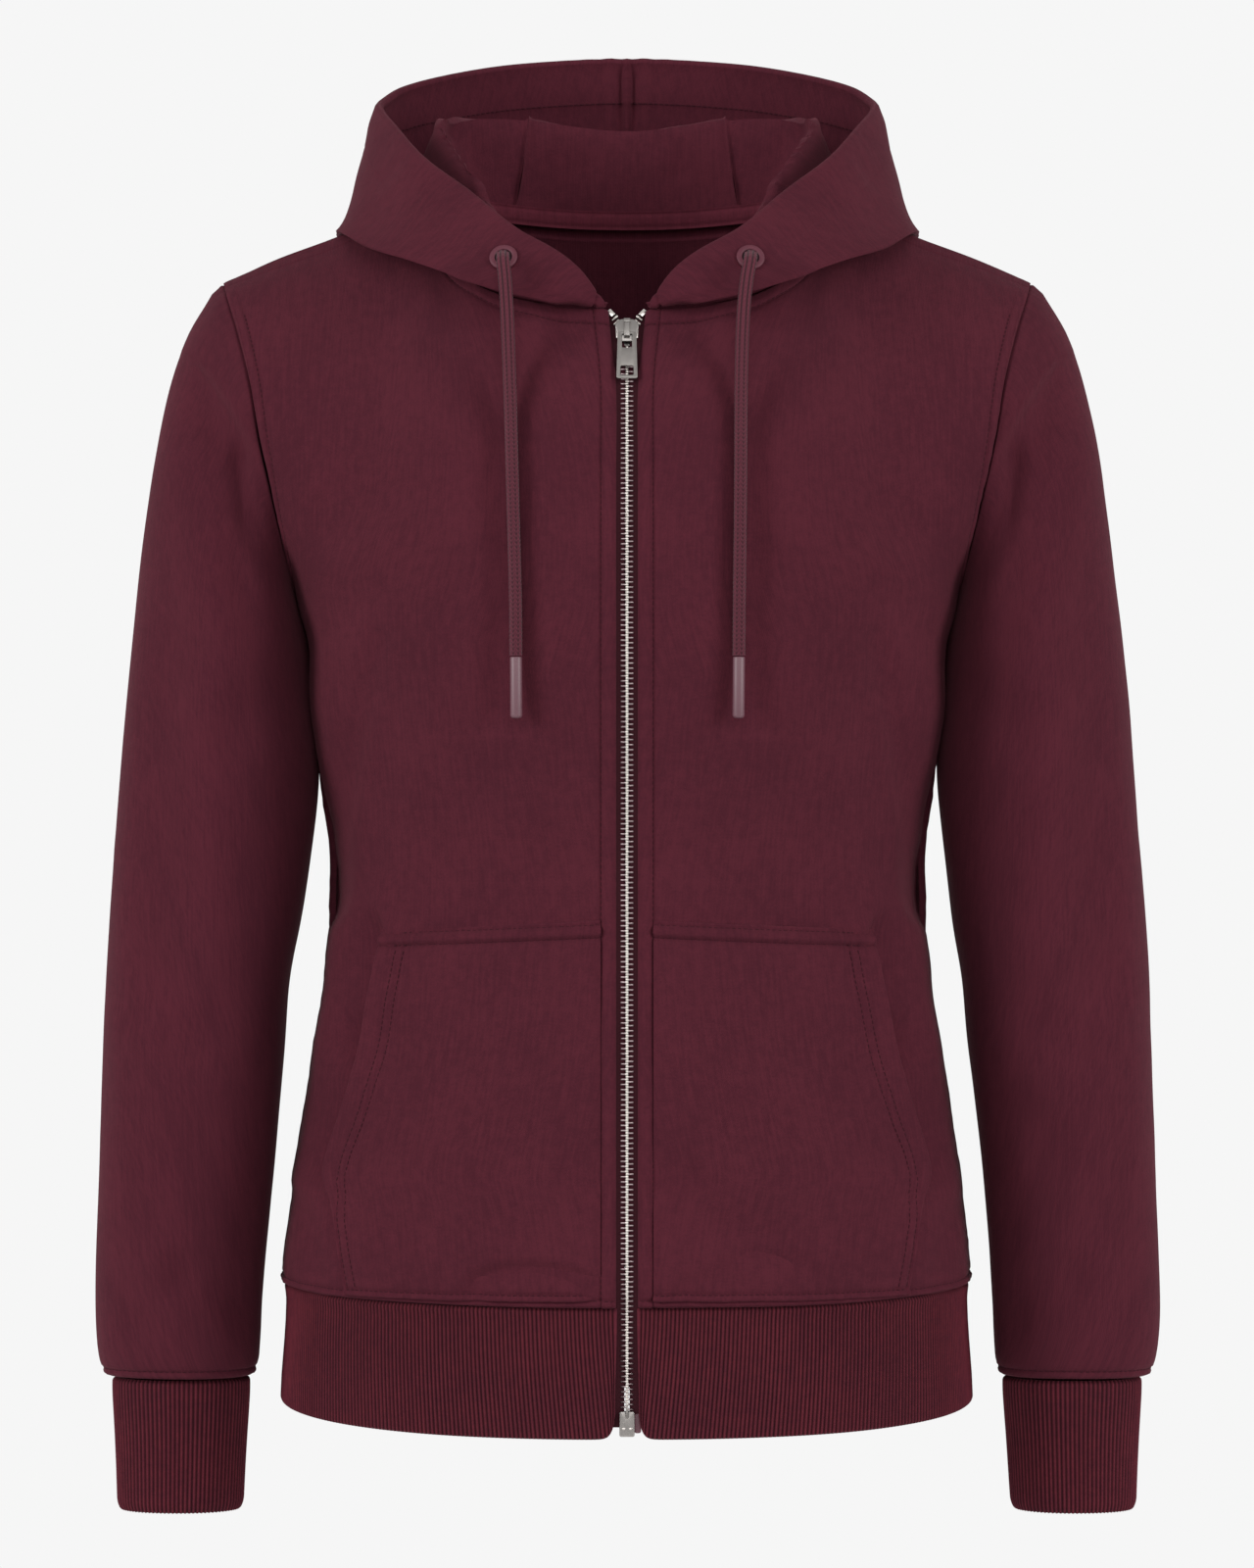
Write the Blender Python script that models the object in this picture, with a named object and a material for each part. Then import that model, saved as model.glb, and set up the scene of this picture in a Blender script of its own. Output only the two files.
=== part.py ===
"""A zip-up hoodie, filled out as when worn, with no wearer.

The front faces -Y, +X is the viewer's right, +Z is up, and the origin is level with the top of the
shoulder seams. Every cloth piece is a thin wall worked out from the tables below, in millimetres.
"""

import math
from collections import namedtuple

import bmesh
import bpy
from mathutils import Vector

MM = 0.001

# ---------------------------------------------------------------- sizes, in millimetres
KNIT = 1.8  # wall of the sweatshirt knit
RIB_KNIT = 1.6  # wall of the rib between its raised ribs
TAPE = 0.8  # wall of the zip tapes and of the neck tape
SEAM_GAP = 0.3
FRONT_EDGE = 6.2  # from the middle of the zip to each front's folded edge
ARMPIT_Z = -215.0
HEM_SEAM = (-564.5, -569.0)  # height at the side, height in the middle
HEM_EDGE = (-625.0, -634.0)
BODY_POWER = 2.3  # 2 is an ellipse, and more is squarer
EDGE_FADE = 2.0  # how quickly the zip line and the armhole stop shaping the panel between them
BODY_RISE = 1.6  # how late the chest and back turn over towards the shoulders
SLEEVE_POWER = 2.15
ARMHOLE_HOLD = 4  # sections over which the armhole's shape fades into the sleeve's
ARMHOLE_STEP = Vector((0.8, 0, -0.2))  # from the body's armhole to the sleeve's

RIB_PITCH = 4.2
RIB_HEIGHT = 0.6
CUFF_ROUND = 176.0  # once round a cuff
HEM_ROUND = 930.0  # once round the hem band
HEM_DROPS = (0.0, 1.0)

CHAIN_HALF_WIDTH = 3.6
CHAIN_THICK = 2.4
CORD_DIAMETER = 6.4

Ring = namedtuple("Ring", "z half_width front back")
TORSO = [
    #    z     half_width  front  back
    Ring(-634, 179.0, -118.0, 117.0),
    Ring(-613, 178.0, -117.5, 117.0),
    Ring(-593, 176.7, -116.5, 116.0),
    Ring(-573, 176.0, -115.5, 115.0),
    Ring(-560, 178.0, -118.0, 117.0),
    Ring(-545, 177.0, -117.5, 116.0),
    Ring(-512, 172.6, -115.0, 112.0),
    Ring(-471, 166.0, -112.0, 105.0),
    Ring(-430, 159.0, -109.0, 97.0),
    Ring(-389, 154.8, -107.0, 91.0),
    Ring(-348, 154.5, -108.0, 90.0),
    Ring(-307, 158.4, -112.0, 94.0),
    Ring(-273, 163.5, -116.0, 99.0),
    Ring(-236, 166.0, -118.0, 103.0),
    Ring(-215, 170.5, -117.5, 104.0),
]

Point = namedtuple("Point", "x y z")
ZIP_LINE = [Point(6.2, -117.5, -215), Point(6.2, -111, -150), Point(6.4, -99.5, -105), Point(10.4, -83, -67)]
BACK_LINE = [Point(0, 104, -215), Point(0, 104, -150), Point(0, 95, -85), Point(0, 66, -8)]
SHOULDER = [Point(104, 5, 0), Point(149, 3, -21.5), Point(183, 1, -34.4), Point(210, 0, -46.4)]
ARMHOLE_FRONT = [
    Point(170.5, 0, -215),
    Point(174, -30, -195),
    Point(181, -48, -162),
    Point(188, -56, -130),
    Point(193.5, -52, -101),
    Point(200, -38, -76),
    Point(207, -18, -55),
    Point(210, 0, -46.4),
]
ARMHOLE_BACK = [
    Point(170.5, 0, -215),
    Point(175, 32, -194),
    Point(183, 52, -162),
    Point(190, 61, -126),
    Point(197, 57, -94),
    Point(204, 40, -68),
    Point(209, 18, -51),
    Point(210, 0, -46.4),
]

# The neck seam and the four lines that the hood's cloth passes on its way from there to its edge:
# the crest of the layer that stands by the neck, the two sides of the bag's bottom, and the rim.
Station = namedtuple("Station", "neck crest inner_bottom outer_bottom rim")
HOOD = [
    Station((10.4, -83, -67), (10.7, -84.5, -65.6), (11, -86, -64), (11.4, -87, -62.6), (11.8, -88, -61)),
    Station((22, -82, -66), (22, -85.5, -64.6), (22, -89.5, -64.4), (22.5, -92.5, -61.5), (22.5, -89, -50)),
    Station((38, -80.5, -65), (38, -83, -60.5), (38, -89.5, -63), (38, -96.5, -63.5), (37, -86, -38)),
    Station((56, -76, -60.5), (55, -66, -36), (58, -79, -47), (59, -98, -59), (58, -79, -26)),
    Station((74, -68, -54), (68, -44, -13), (76, -64, -36.5), (82, -93, -51.5), (82, -59, -5)),
    Station((90, -52, -43), (82, -22, 12), (95, -38, -21), (107, -75, -42.5), (107, -34, 15)),
    Station((101, -28, -24), (93, 4, 30), (110, -4, -2), (131, -45, -31), (123, 2, 35)),
    Station((104, 5, 0), (98, 22, 40), (114, 20, 7), (150.5, -5, -17), (133, 36, 49)),
    Station((95, 33, -2), (88, 46, 45.5), (112, 60, -16), (151, 55, -23), (132, 61, 55)),
    Station((73, 51, -4.5), (70, 60, 46.5), (90, 93, -50), (132, 108, -55), (119, 87, 66.5)),
    Station((48, 60, -6.5), (52, 68, 46), (58, 107, -82), (86, 141, -88), (77, 120, 79.5)),
    Station((24, 64.5, -7.7), (26, 72, 42), (28, 113, -95), (42, 153, -101), (38, 135, 85)),
    Station((0, 66, -8), (0, 74, 39.5), (0, 114, -98), (0, 157, -104), (0, 140, 87)),
]
NECK_POINT_STATION = 7  # the station on the shoulder seam
CENTRE_PANEL_STATION = 10  # where the centre panel's seam crosses the neck and the crest
LAST_STATION = 12
HOOD_LIFT = 1.2  # the hood stands this far above the neck seam of the body
TAPER_START = 0.45  # the share of the way to the rim where the centre panel starts to narrow
TAPER_TIP = 0.015  # half the width of its tip, in stations

Turn = namedtuple("Turn", "outer_x outer_z inner_x inner_z half_depth centre_y")
SLEEVE = [
    #    outer_x outer_z inner_x inner_z half_depth centre_y
    Turn(216.9, -52, 175.5, -220, 60.0, 1.0),
    Turn(228.0, -74, 174.8, -229, 62.0, 1.0),
    Turn(238.0, -104, 171.8, -240, 62.0, 1.0),
    Turn(246.0, -144, 168.8, -253, 61.0, 1.0),
    Turn(252.0, -185, 166.5, -269, 60.0, 0.5),
    Turn(257.0, -228, 164.6, -289, 58.5, 0.0),
    Turn(261.0, -270, 163.5, -313, 57.0, 0.0),
    Turn(265.0, -318, 165.0, -344, 55.0, 0.0),
    Turn(268.0, -366, 169.5, -378, 53.0, -1.0),
    Turn(271.0, -410, 175.0, -410, 50.0, -2.0),
    Turn(272.5, -450, 178.0, -450, 47.0, -3.0),
    Turn(274.0, -491, 182.0, -491, 44.0, -5.0),
    Turn(275.0, -532, 186.5, -532, 41.0, -7.0),
    Turn(275.5, -573, 189.3, -573, 38.5, -9.0),
    Turn(274.8, -594, 190.0, -594, 36.5, -10.0),
    Turn(273.0, -606, 191.0, -606, 34.0, -10.5),
    Turn(269.5, -613, 193.5, -613, 31.0, -10.5),
]
CUFF = [
    Turn(266.8, -613.6, 195.0, -613.6, 28.5, -10.5),
    Turn(264.6, -642, 197.2, -642, 26.3, -11.2),
    Turn(263.3, -681, 199.4, -681, 25.0, -12.0),
]

Opening = namedtuple("Opening", "z x")
POCKET_EDGE = [
    Opening(-566.0, 141.2),
    Opening(-533.0, 145.4),
    Opening(-519.0, 148.0),
    Opening(-505.0, 151.6),
    Opening(-477.0, 142.5),
    Opening(-442.0, 132.5),
    Opening(-408.0, 126.7),
    Opening(-381.0, 123.7),
]
POCKET_INNER_X = 13.2
POCKET_STAND = 1.0  # between the pocket and the front
POCKET_ROWS = 8
POCKET_COLUMNS = 9
POCKET_TOP_RISE = 5.0  # how much higher the pocket's top stands at the zip than at its corner

ZIP_DEPTH = 2.8  # from the cloth's face back to the middle of the zip's tapes
ZIP_TOP_Z = -67.0
ZIP_BOTTOM_Z = -632.0
TAPE_INNER_X = 3.9
TAPE_OUTER_X = 13.0
SLIDER_Z = -78.0
CHAIN_REACH = 2.7  # how far the chain runs up inside the slider
BOX_TOP_Z = -620.0
BOX_BOTTOM_Z = -632.6
BOX_HALF_WIDTH = 3.55
BOX_THICK = 3.8
# the slider and pull, about the slider's middle: outlines as (x, z), the crown's as (y, z)
PLATE = [
    (-4.4, -6.2), (4.4, -6.2), (5.0, -1.5), (5.9, 2.5), (4.8, 5.4),
    (2.4, 6.2), (-2.4, 6.2), (-4.8, 5.4), (-5.9, 2.5), (-5.0, -1.5),
]
PLATE_INNER_Y = 1.55
PLATE_OUTER_Y = 2.65
POST_HALF_WIDTH = 1.5
POST_LOW = 3.0
POST_HIGH = 5.9
CROWN = [
    (-2.4, 5.8), (-5.0, 5.3), (-5.9, 3.8), (-5.9, -3.4), (-5.3, -4.6), (-2.4, -5.0),
    (-2.4, -3.8), (-4.5, -3.7), (-4.8, -3.2), (-4.8, 3.2), (-4.3, 4.2), (-2.4, 4.4),
]
CROWN_HALF_WIDTH = 1.9
PULL_AXIS_Y = -3.75
PULL_AXIS_Z = -2.65
PULL_THICK = 1.2
PULL = [
    (-4.6, 0.65), (4.6, 0.65), (5.0, -6.0), (5.3, -9.0), (5.3, -25.0),
    (4.3, -26.0), (-4.3, -26.0), (-5.3, -25.0), (-5.3, -9.0), (-5.0, -6.0),
]
PULL_SLOT = [(-2.4, -8.4), (2.4, -8.4), (2.4, -0.65), (-2.4, -0.65)]
PULL_WINDOW = [(-3.3, -24.2), (3.3, -24.2), (3.3, -18.8), (-3.3, -18.8)]

CORD_STEPS = 2  # points between two of the route's
CORD_ROUTES = {
    "left": [
        (-62.4, -94.0, -40.6), (-62.2, -99.4, -44.5), (-61.3, -101.8, -53), (-60.3, -102.4, -68),
        (-59.4, -102.6, -90), (-58.4, -104.8, -118), (-57.4, -111.7, -150), (-56.4, -116.0, -185),
        (-55.6, -118.0, -215), (-55.4, -118.2, -243),
    ],
    "right": [
        (62.4, -94.0, -40.6), (61.8, -99.4, -44.5), (60.2, -101.8, -53), (58.6, -102.4, -68),
        (57.6, -102.6, -90), (57.1, -104.8, -118), (56.8, -111.7, -150), (56.4, -116.0, -185),
        (56.0, -118.0, -215), (55.8, -118.2, -243),
    ],
}
AGLET_SIDES = 10
AGLET_PROFILE = [(2.6, 0.0), (3.05, 0.6), (3.05, 29.0), (2.5, 30.6), (1.4, 31.0)]  # radius, drop
EYELET_STATION = 3.15
EYELET_SHARE = 0.875
EYELET_STAND = 0.5
EYELET_SIDES = 16
EYELET_PROFILE = [
    (7.2, 0.2), (6.6, 0.8), (5.6, 1.0), (4.3, 0.6), (4.3, 0.0), (5.6, -0.1), (6.6, -0.1), (7.1, 0.0),
]
NECK_TAPE_COLUMNS = 6
NECK_TAPE_STATION = 8.8
NECK_TAPE_RISES = (-4.5, 0.5, 5.0)
NECK_TAPE_INSET = 3.4

# The largest folds, as soft troughs between two points of a panel. Both sides have them.
Fold = namedtuple("Fold", "panel x z end_x end_z half_width depth")
FOLDS = [
    Fold("front", 128, -268, 147, -362, 22, 3.2),
    Fold("back", 40, -300, 132, -272, 24, 3.6),
    Fold("back", 52, -352, 128, -336, 22, 3.0),
    Fold("sleeve_front", 224, -104, 190, -196, 20, 3.4),
    Fold("sleeve_front", 262, -404, 222, -424, 20, 3.2),
    Fold("sleeve_back", 184, -330, 250, -306, 24, 4.0),
    Fold("sleeve_back", 186, -404, 254, -388, 22, 4.0),
    Fold("sleeve_back", 196, -560, 250, -540, 18, 2.6),
]

# how finely each wall is divided
LOWER_ROWS = 11  # hem seam to armpit
UPPER_ROWS = 10  # armpit to shoulder, and half of the armhole
FRONT_NECK_COLUMNS = 7
BACK_NECK_COLUMNS = 5
SHOULDER_COLUMNS = 5
HOOD_COLUMNS = 16
HOOD_ROWS = 16
CENTRE_PANEL_COLUMNS = 3
CENTRE_PANEL_ROWS = 13

NEARLY_ZERO = 1e-6
TANGENT_STEP = 0.05  # stations to each side, for the way along a row of the hood
SHARP_ANGLE = 45.0  # edges that turn more than this look like edges

Finish = namedtuple("Finish", "colour roughness metallic")
FINISHES = {
    "sweatshirt_knit": Finish((0.092, 0.021, 0.028), 0.9, 0.0),
    "rib_knit": Finish((0.085, 0.019, 0.026), 0.9, 0.0),
    "woven_tape": Finish((0.085, 0.019, 0.026), 0.8, 0.0),
    "braided_cord": Finish((0.130, 0.030, 0.044), 0.75, 0.0),
    "moulded_tip": Finish((0.262, 0.133, 0.156), 0.6, 0.0),
    "painted_eyelet": Finish((0.160, 0.052, 0.068), 0.45, 0.0),
    "zip_steel": Finish((0.560, 0.550, 0.540), 0.3, 1.0),
    "pull_steel": Finish((0.270, 0.260, 0.250), 0.4, 1.0),
}


# ---------------------------------------------------------------- curves and surfaces
def smooth_point(points, place):
    """A point of the smooth curve through the given ones, at a place counted in intervals."""
    index = min(max(int(place), 0), len(points) - 2)
    share = place - index
    start = points[index]
    end = points[index + 1]
    length = (end - start).length
    slopes = []
    for here in (index, index + 1):
        before = points[max(here - 1, 0)]
        after = points[min(here + 1, len(points) - 1)]
        run = (points[here] - before).length + (after - points[here]).length
        slopes.append((after - before) / max(run, NEARLY_ZERO) * length)
    square = share * share
    cube = square * share
    return (
        start * (2 * cube - 3 * square + 1)
        + slopes[0] * (cube - 2 * square + share)
        + end * (3 * square - 2 * cube)
        + slopes[1] * (cube - square)
    )


def place_of(values, value):
    """Where a value lies in a rising list, counted in intervals."""
    index = 0
    while index < len(values) - 2 and value > values[index + 1]:
        index += 1
    return index + (value - values[index]) / (values[index + 1] - values[index])


def torso_ring(z):
    """The half width, front depth and back depth of the torso at a height."""
    rows = [Vector((row.half_width, row.front, row.back)) for row in TORSO]
    return smooth_point(rows, place_of([row.z for row in TORSO], z))


def ring_point(share, z, back=False, start=0.0):
    """A point of the torso's ring, from the middle at share 0 to the side seam at share 1."""
    half_width, front, rear = torso_ring(z)
    angle = share * math.pi / 2
    across = math.sin(angle) ** (2 / BODY_POWER)
    along = max(math.cos(angle), 0.0) ** (2 / BODY_POWER)
    return Vector((start + (half_width - start) * across, (rear if back else front) * along, z))


def hem_height(share, side, middle):
    """The hem band's seam and edge dip a little towards the middle."""
    return side + (middle - side) * math.cos(share * math.pi / 2)


def on_line(table, share):
    points = [Vector(row) for row in table]
    return smooth_point(points, share * (len(points) - 1))


def neck_seam(place):
    return smooth_point([Vector(station.neck) for station in HOOD], place)


def top_edge(share, back):
    """The neck seam up to the neck point, then the shoulder seam out to its tip."""
    neck_columns = BACK_NECK_COLUMNS if back else FRONT_NECK_COLUMNS
    corner = neck_columns / (neck_columns + SHOULDER_COLUMNS)
    if share > corner:
        return on_line(SHOULDER, (share - corner) / (1 - corner))
    middle = LAST_STATION if back else 0
    return neck_seam(middle + (NECK_POINT_STATION - middle) * share / corner)


def upper_point(share, rise, back):
    """A point between the armpit's level (rise 0) and the top edge (rise 1), fitted to four edges."""
    start = 0.0 if back else FRONT_EDGE
    middle = BACK_LINE if back else ZIP_LINE
    armhole = ARMHOLE_BACK if back else ARMHOLE_FRONT
    base = ring_point(share, ARMPIT_Z, back, start)
    top = top_edge(share, back)
    corners = (
        (ring_point(0, ARMPIT_Z, back, start), top_edge(0, back)),
        (ring_point(1, ARMPIT_Z, back, start), top_edge(1, back)),
    )
    edges = (on_line(middle, rise), on_line(armhole, rise))
    point = Vector()
    for axis in range(3):
        blend = rise**BODY_RISE if axis == 1 else rise
        value = (1 - blend) * base[axis] + blend * top[axis]
        for edge, (low, high), weight in zip(edges, corners, ((1 - share) ** EDGE_FADE, share**EDGE_FADE)):
            value += weight * (edge[axis] - (1 - blend) * low[axis] - blend * high[axis])
        point[axis] = value
    return point


def body_point(share, level, back):
    """Level 0 is the hem seam, 1 the armpit and 2 the shoulder."""
    if level > 1:
        return upper_point(share, level - 1, back)
    bottom = hem_height(share, *HEM_SEAM)
    z = bottom + (ARMPIT_Z - bottom) * level
    return ring_point(share, z, back, 0.0 if back else FRONT_EDGE)


def upper_share(row):
    """How far up the armhole a row lies: rows are closer at its two ends, as points round a ring are."""
    return (1 - math.cos(math.pi * row / UPPER_ROWS)) / 2


def fold_depth(panel, point):
    """How far a panel's folds take one of its points in."""
    depth = 0.0
    for fold in FOLDS:
        if fold.panel == panel:
            run = Vector((fold.end_x - fold.x, fold.end_z - fold.z))
            reach = Vector((point.x - fold.x, point.z - fold.z))
            share = min(max(reach.dot(run) / run.length_squared, 0.0), 1.0)
            depth += fold.depth * math.exp(-(((reach - run * share).length / fold.half_width) ** 2))
    return depth


def body_grid(back):
    """Rows of points from the middle to the side, from the hem seam up to the shoulder."""
    columns = SHOULDER_COLUMNS + (BACK_NECK_COLUMNS if back else FRONT_NECK_COLUMNS)
    levels = [row / LOWER_ROWS for row in range(LOWER_ROWS)]
    levels += [1 + upper_share(row) for row in range(UPPER_ROWS + 1)]
    grid = [[body_point(column / columns, level, back) for column in range(columns + 1)] for level in levels]
    inward = 1 if back else -1
    ways = normals(grid)
    for row in range(1, len(grid) - 1):
        for column in range(1, columns):
            depth = fold_depth("back" if back else "front", grid[row][column])
            grid[row][column] += ways[row][column] * inward * depth
    return grid


def hood_section(station, steps):
    """The cloth's way from the neck seam to the rim at one station."""
    corners = [Vector(point) for point in HOOD[station]]
    corners[0] = corners[0] + Vector((0, 0, HOOD_LIFT))
    return [smooth_point(corners, 4 * step / steps) for step in range(steps + 1)]


def hood_seam(row):
    """Where the seam of the centre panel lies, in stations: it tapers to a tip in the middle."""
    start = TAPER_START * HOOD_ROWS
    taper = min(max((row - start) / (CENTRE_PANEL_ROWS - start), 0.0), 1.0)
    eased = taper * taper * (3 - 2 * taper)
    return CENTRE_PANEL_STATION + (LAST_STATION - TAPER_TIP - CENTRE_PANEL_STATION) * eased


def mirrored(grid):
    return [[Vector((-point.x, point.y, point.z)) for point in row] for row in grid]


def normals(grid, ringed=False):
    """The direction square to the grid at each point, columns crossed with rows."""
    result = []
    for r, row in enumerate(grid):
        above = grid[min(r + 1, len(grid) - 1)]
        below = grid[max(r - 1, 0)]
        line = []
        for c in range(len(row)):
            left = row[c - 1] if c or ringed else row[c]
            right = row[(c + 1) % len(row)] if c < len(row) - 1 or ringed else row[c]
            line.append((right - left).cross(above[c] - below[c]).normalized())
        result.append(line)
    return result


def moved(grid, directions, distance):
    """Every point of a grid moved along its direction."""
    return [
        [point + way * distance for point, way in zip(row, ways)] for row, ways in zip(grid, directions)
    ]


# ---------------------------------------------------------------- making objects
def material(name):
    look = FINISHES[name]
    finish = bpy.data.materials.new(name)
    finish.use_nodes = True
    shader = finish.node_tree.nodes["Principled BSDF"]
    shader.inputs["Base Color"].default_value = (*look.colour, 1)
    shader.inputs["Roughness"].default_value = look.roughness
    shader.inputs["Metallic"].default_value = look.metallic
    finish.diffuse_color = (*look.colour, 1)
    return finish


def add_object(name, mesh, finish):
    obj = bpy.data.objects.new(name, mesh)
    mesh.materials.append(finish)
    bpy.context.scene.collection.objects.link(obj)
    return obj


def closed_mesh(name, points, faces):
    """A mesh of points in millimetres, with its faces turned outwards."""
    mesh = bpy.data.meshes.new(name)
    mesh.from_pydata([tuple(point * MM) for point in points], [], faces)
    shape = bmesh.new()
    shape.from_mesh(mesh)
    bmesh.ops.recalc_face_normals(shape, faces=shape.faces)
    shape.to_mesh(mesh)
    shape.free()
    return mesh


def smoothed(mesh):
    mesh.shade_smooth()
    mesh.set_sharp_from_angle(angle=math.radians(SHARP_ANGLE))
    return mesh


def bridge(faces, outer_edge, inner_edge):
    """Closes the wall along one edge, where the outer side may have several points to each inner one."""
    fan = (len(outer_edge) - 1) // (len(inner_edge) - 1)
    for c in range(len(inner_edge) - 1):
        middle = c * fan + fan // 2
        for step in range(c * fan, (c + 1) * fan):
            foot = inner_edge[c] if step < middle else inner_edge[c + 1]
            faces.append((outer_edge[step], outer_edge[step + 1], foot))
        faces.append((inner_edge[c], outer_edge[middle], inner_edge[c + 1]))


def add_wall(name, outer, inner, finish, ringed=False):
    """One closed wall between two grids of points with the same rows."""
    points = [point for grid in (outer, inner) for row in grid for point in row]
    width = (len(outer[0]), len(inner[0]))
    start = (0, len(outer) * width[0])

    def line(side, row):
        ids = [start[side] + row * width[side] + c for c in range(width[side])]
        return ids + ids[:1] if ringed else ids

    faces = []
    for side in (0, 1):
        for row in range(len(outer) - 1):
            low = line(side, row)
            high = line(side, row + 1)
            for c in range(len(low) - 1):
                quad = (low[c], low[c + 1], high[c + 1], high[c])
                faces.append(quad if side == 0 else quad[::-1])
    for row in (0, len(outer) - 1):
        bridge(faces, line(0, row), line(1, row))
    if not ringed:
        for column in (0, -1):
            for row in range(len(outer) - 1):
                ends = [line(side, r)[column] for side, r in ((0, row), (0, row + 1), (1, row + 1), (1, row))]
                faces.append(tuple(ends))
    return add_object(name, smoothed(closed_mesh(name, points, faces)), finish)


def add_cloth(name, grid, thick, finish, ringed=False, sides=("right",), ways=None):
    """A wall on one grid, for the piece at +X, its mirror image, or both."""
    ways = ways or normals(grid, ringed)
    inner = moved(grid, ways, -thick)
    for side in sides:
        if side == "right":
            add_wall(name.format(side=side), grid, inner, finish, ringed)
        else:
            add_wall(name.format(side=side), mirrored(grid), mirrored(inner), finish, ringed)


BOTH_SIDES = ("left", "right")


# ---------------------------------------------------------------- the cloth pieces
def seam_ways(grid):
    """The grid's normals, turned square to Y at the side and shoulder seams so that walls meet there."""
    ways = normals(grid)
    for row, line in enumerate(ways):
        for column in range(len(line)):
            side_seam = column == len(line) - 1 and row <= LOWER_ROWS
            shoulder_seam = row == len(ways) - 1 and column >= len(line) - 1 - SHOULDER_COLUMNS
            if side_seam or shoulder_seam:
                line[column] = Vector((line[column].x, 0, line[column].z)).normalized()
    return ways


def add_body(finish):
    front = body_grid(back=False)
    add_cloth("front_{side}", front, KNIT, finish, sides=BOTH_SIDES, ways=seam_ways(front))
    half = [[point + Vector((0, SEAM_GAP, 0)) for point in row] for row in body_grid(back=True)]
    ways = [[-way for way in row] for row in seam_ways(half)]
    whole = [left[:0:-1] + right for left, right in zip(mirrored(half), half)]
    ways = [left[:0:-1] + right for left, right in zip(mirrored(ways), ways)]
    add_cloth("back", whole, KNIT, finish, ways=ways)


def turn_ring(turn, count):
    """A sleeve's section: outermost point first, then round by the front."""
    outer = Vector((turn.outer_x, 0, turn.outer_z))
    inner = Vector((turn.inner_x, 0, turn.inner_z))
    ring = []
    for step in range(count):
        angle = 2 * math.pi * step / count
        cosine = math.cos(angle)
        sine = math.sin(angle)
        out = math.copysign(abs(cosine) ** (2 / SLEEVE_POWER), cosine)
        ahead = math.copysign(abs(sine) ** (2 / SLEEVE_POWER), sine)
        point = (outer + inner) / 2 + (outer - inner) / 2 * out
        point.y = turn.centre_y - turn.half_depth * ahead
        ring.append(point)
    return ring


def armhole_ring():
    """The body's armhole, from the shoulder's tip down the front and up the back."""
    front = [on_line(ARMHOLE_FRONT, upper_share(row)) for row in range(UPPER_ROWS, 0, -1)]
    rear = [on_line(ARMHOLE_BACK, upper_share(row)) for row in range(UPPER_ROWS)]
    return [point + ARMHOLE_STEP for point in front + rear]


def sleeve_rows():
    """The sleeve's sections. The first few keep something of the armhole's own shape."""
    armhole = armhole_ring()
    rows = [armhole]
    for step, turn in enumerate(SLEEVE):
        ring = turn_ring(turn, len(armhole))
        hold = max(1 - (step + 1) / ARMHOLE_HOLD, 0.0)
        shift = (ring[0] + ring[UPPER_ROWS] - armhole[0] - armhole[UPPER_ROWS]) / 2
        rows.append([point.lerp(start + shift, hold) for point, start in zip(ring, armhole)])
    ways = normals(rows, True)
    for row in range(1, len(rows) - 1):
        for c, way in enumerate(ways[row]):
            panel = "sleeve_front" if way.y < 0 else "sleeve_back"
            rows[row][c] -= way * abs(way.y) * fold_depth(panel, rows[row][c])
    return rows


def add_sleeves(finish):
    add_cloth("sleeve_{side}", sleeve_rows(), KNIT, finish, ringed=True, sides=BOTH_SIDES)


def ribbed(grid, ways):
    """Raises every second point of the rows, for ribs that run across them."""
    return [
        [point + way * (RIB_HEIGHT if c % 2 else 0.0) for c, (point, way) in enumerate(zip(row, line))]
        for row, line in zip(grid, ways)
    ]


def add_cuffs(finish):
    ribs = 2 * round(CUFF_ROUND / RIB_PITCH / 2)
    plain = [turn_ring(turn, 2 * ribs) for turn in CUFF]
    outer = ribbed(plain, normals(plain, True))
    inner_rows = [turn_ring(turn, ribs // 2) for turn in CUFF]
    inner = moved(inner_rows, normals(inner_rows, True), -RIB_KNIT)
    add_wall("cuff_right", outer, inner, finish, ringed=True)
    add_wall("cuff_left", mirrored(outer), mirrored(inner), finish, ringed=True)


def hem_point(share, drop):
    """A point of the hem band at +X: share 0 is by the zip and 1 the middle of the back."""
    back = share > 0.5
    part = 2 - 2 * share if back else 2 * share
    top = hem_height(part, *HEM_SEAM) - SEAM_GAP
    z = top + (hem_height(part, *HEM_EDGE) - top) * drop
    return ring_point(part, z, back, 0.0 if back else FRONT_EDGE)


def add_hem(finish):
    ribs = 4 * round(HEM_ROUND / RIB_PITCH / 4)

    def band(count):
        rows = []
        for drop in HEM_DROPS:
            half = [hem_point(step / (count // 2), drop) for step in range(count // 2 + 1)]
            rows.append(mirrored([half])[0] + half[-2::-1])
        return rows

    plain = band(2 * ribs)
    outer = ribbed(plain, normals(plain))
    coarse = band(ribs // 2)
    inner = moved(coarse, normals(coarse), -RIB_KNIT)
    add_wall("hem_rib", outer, inner, finish)


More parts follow.
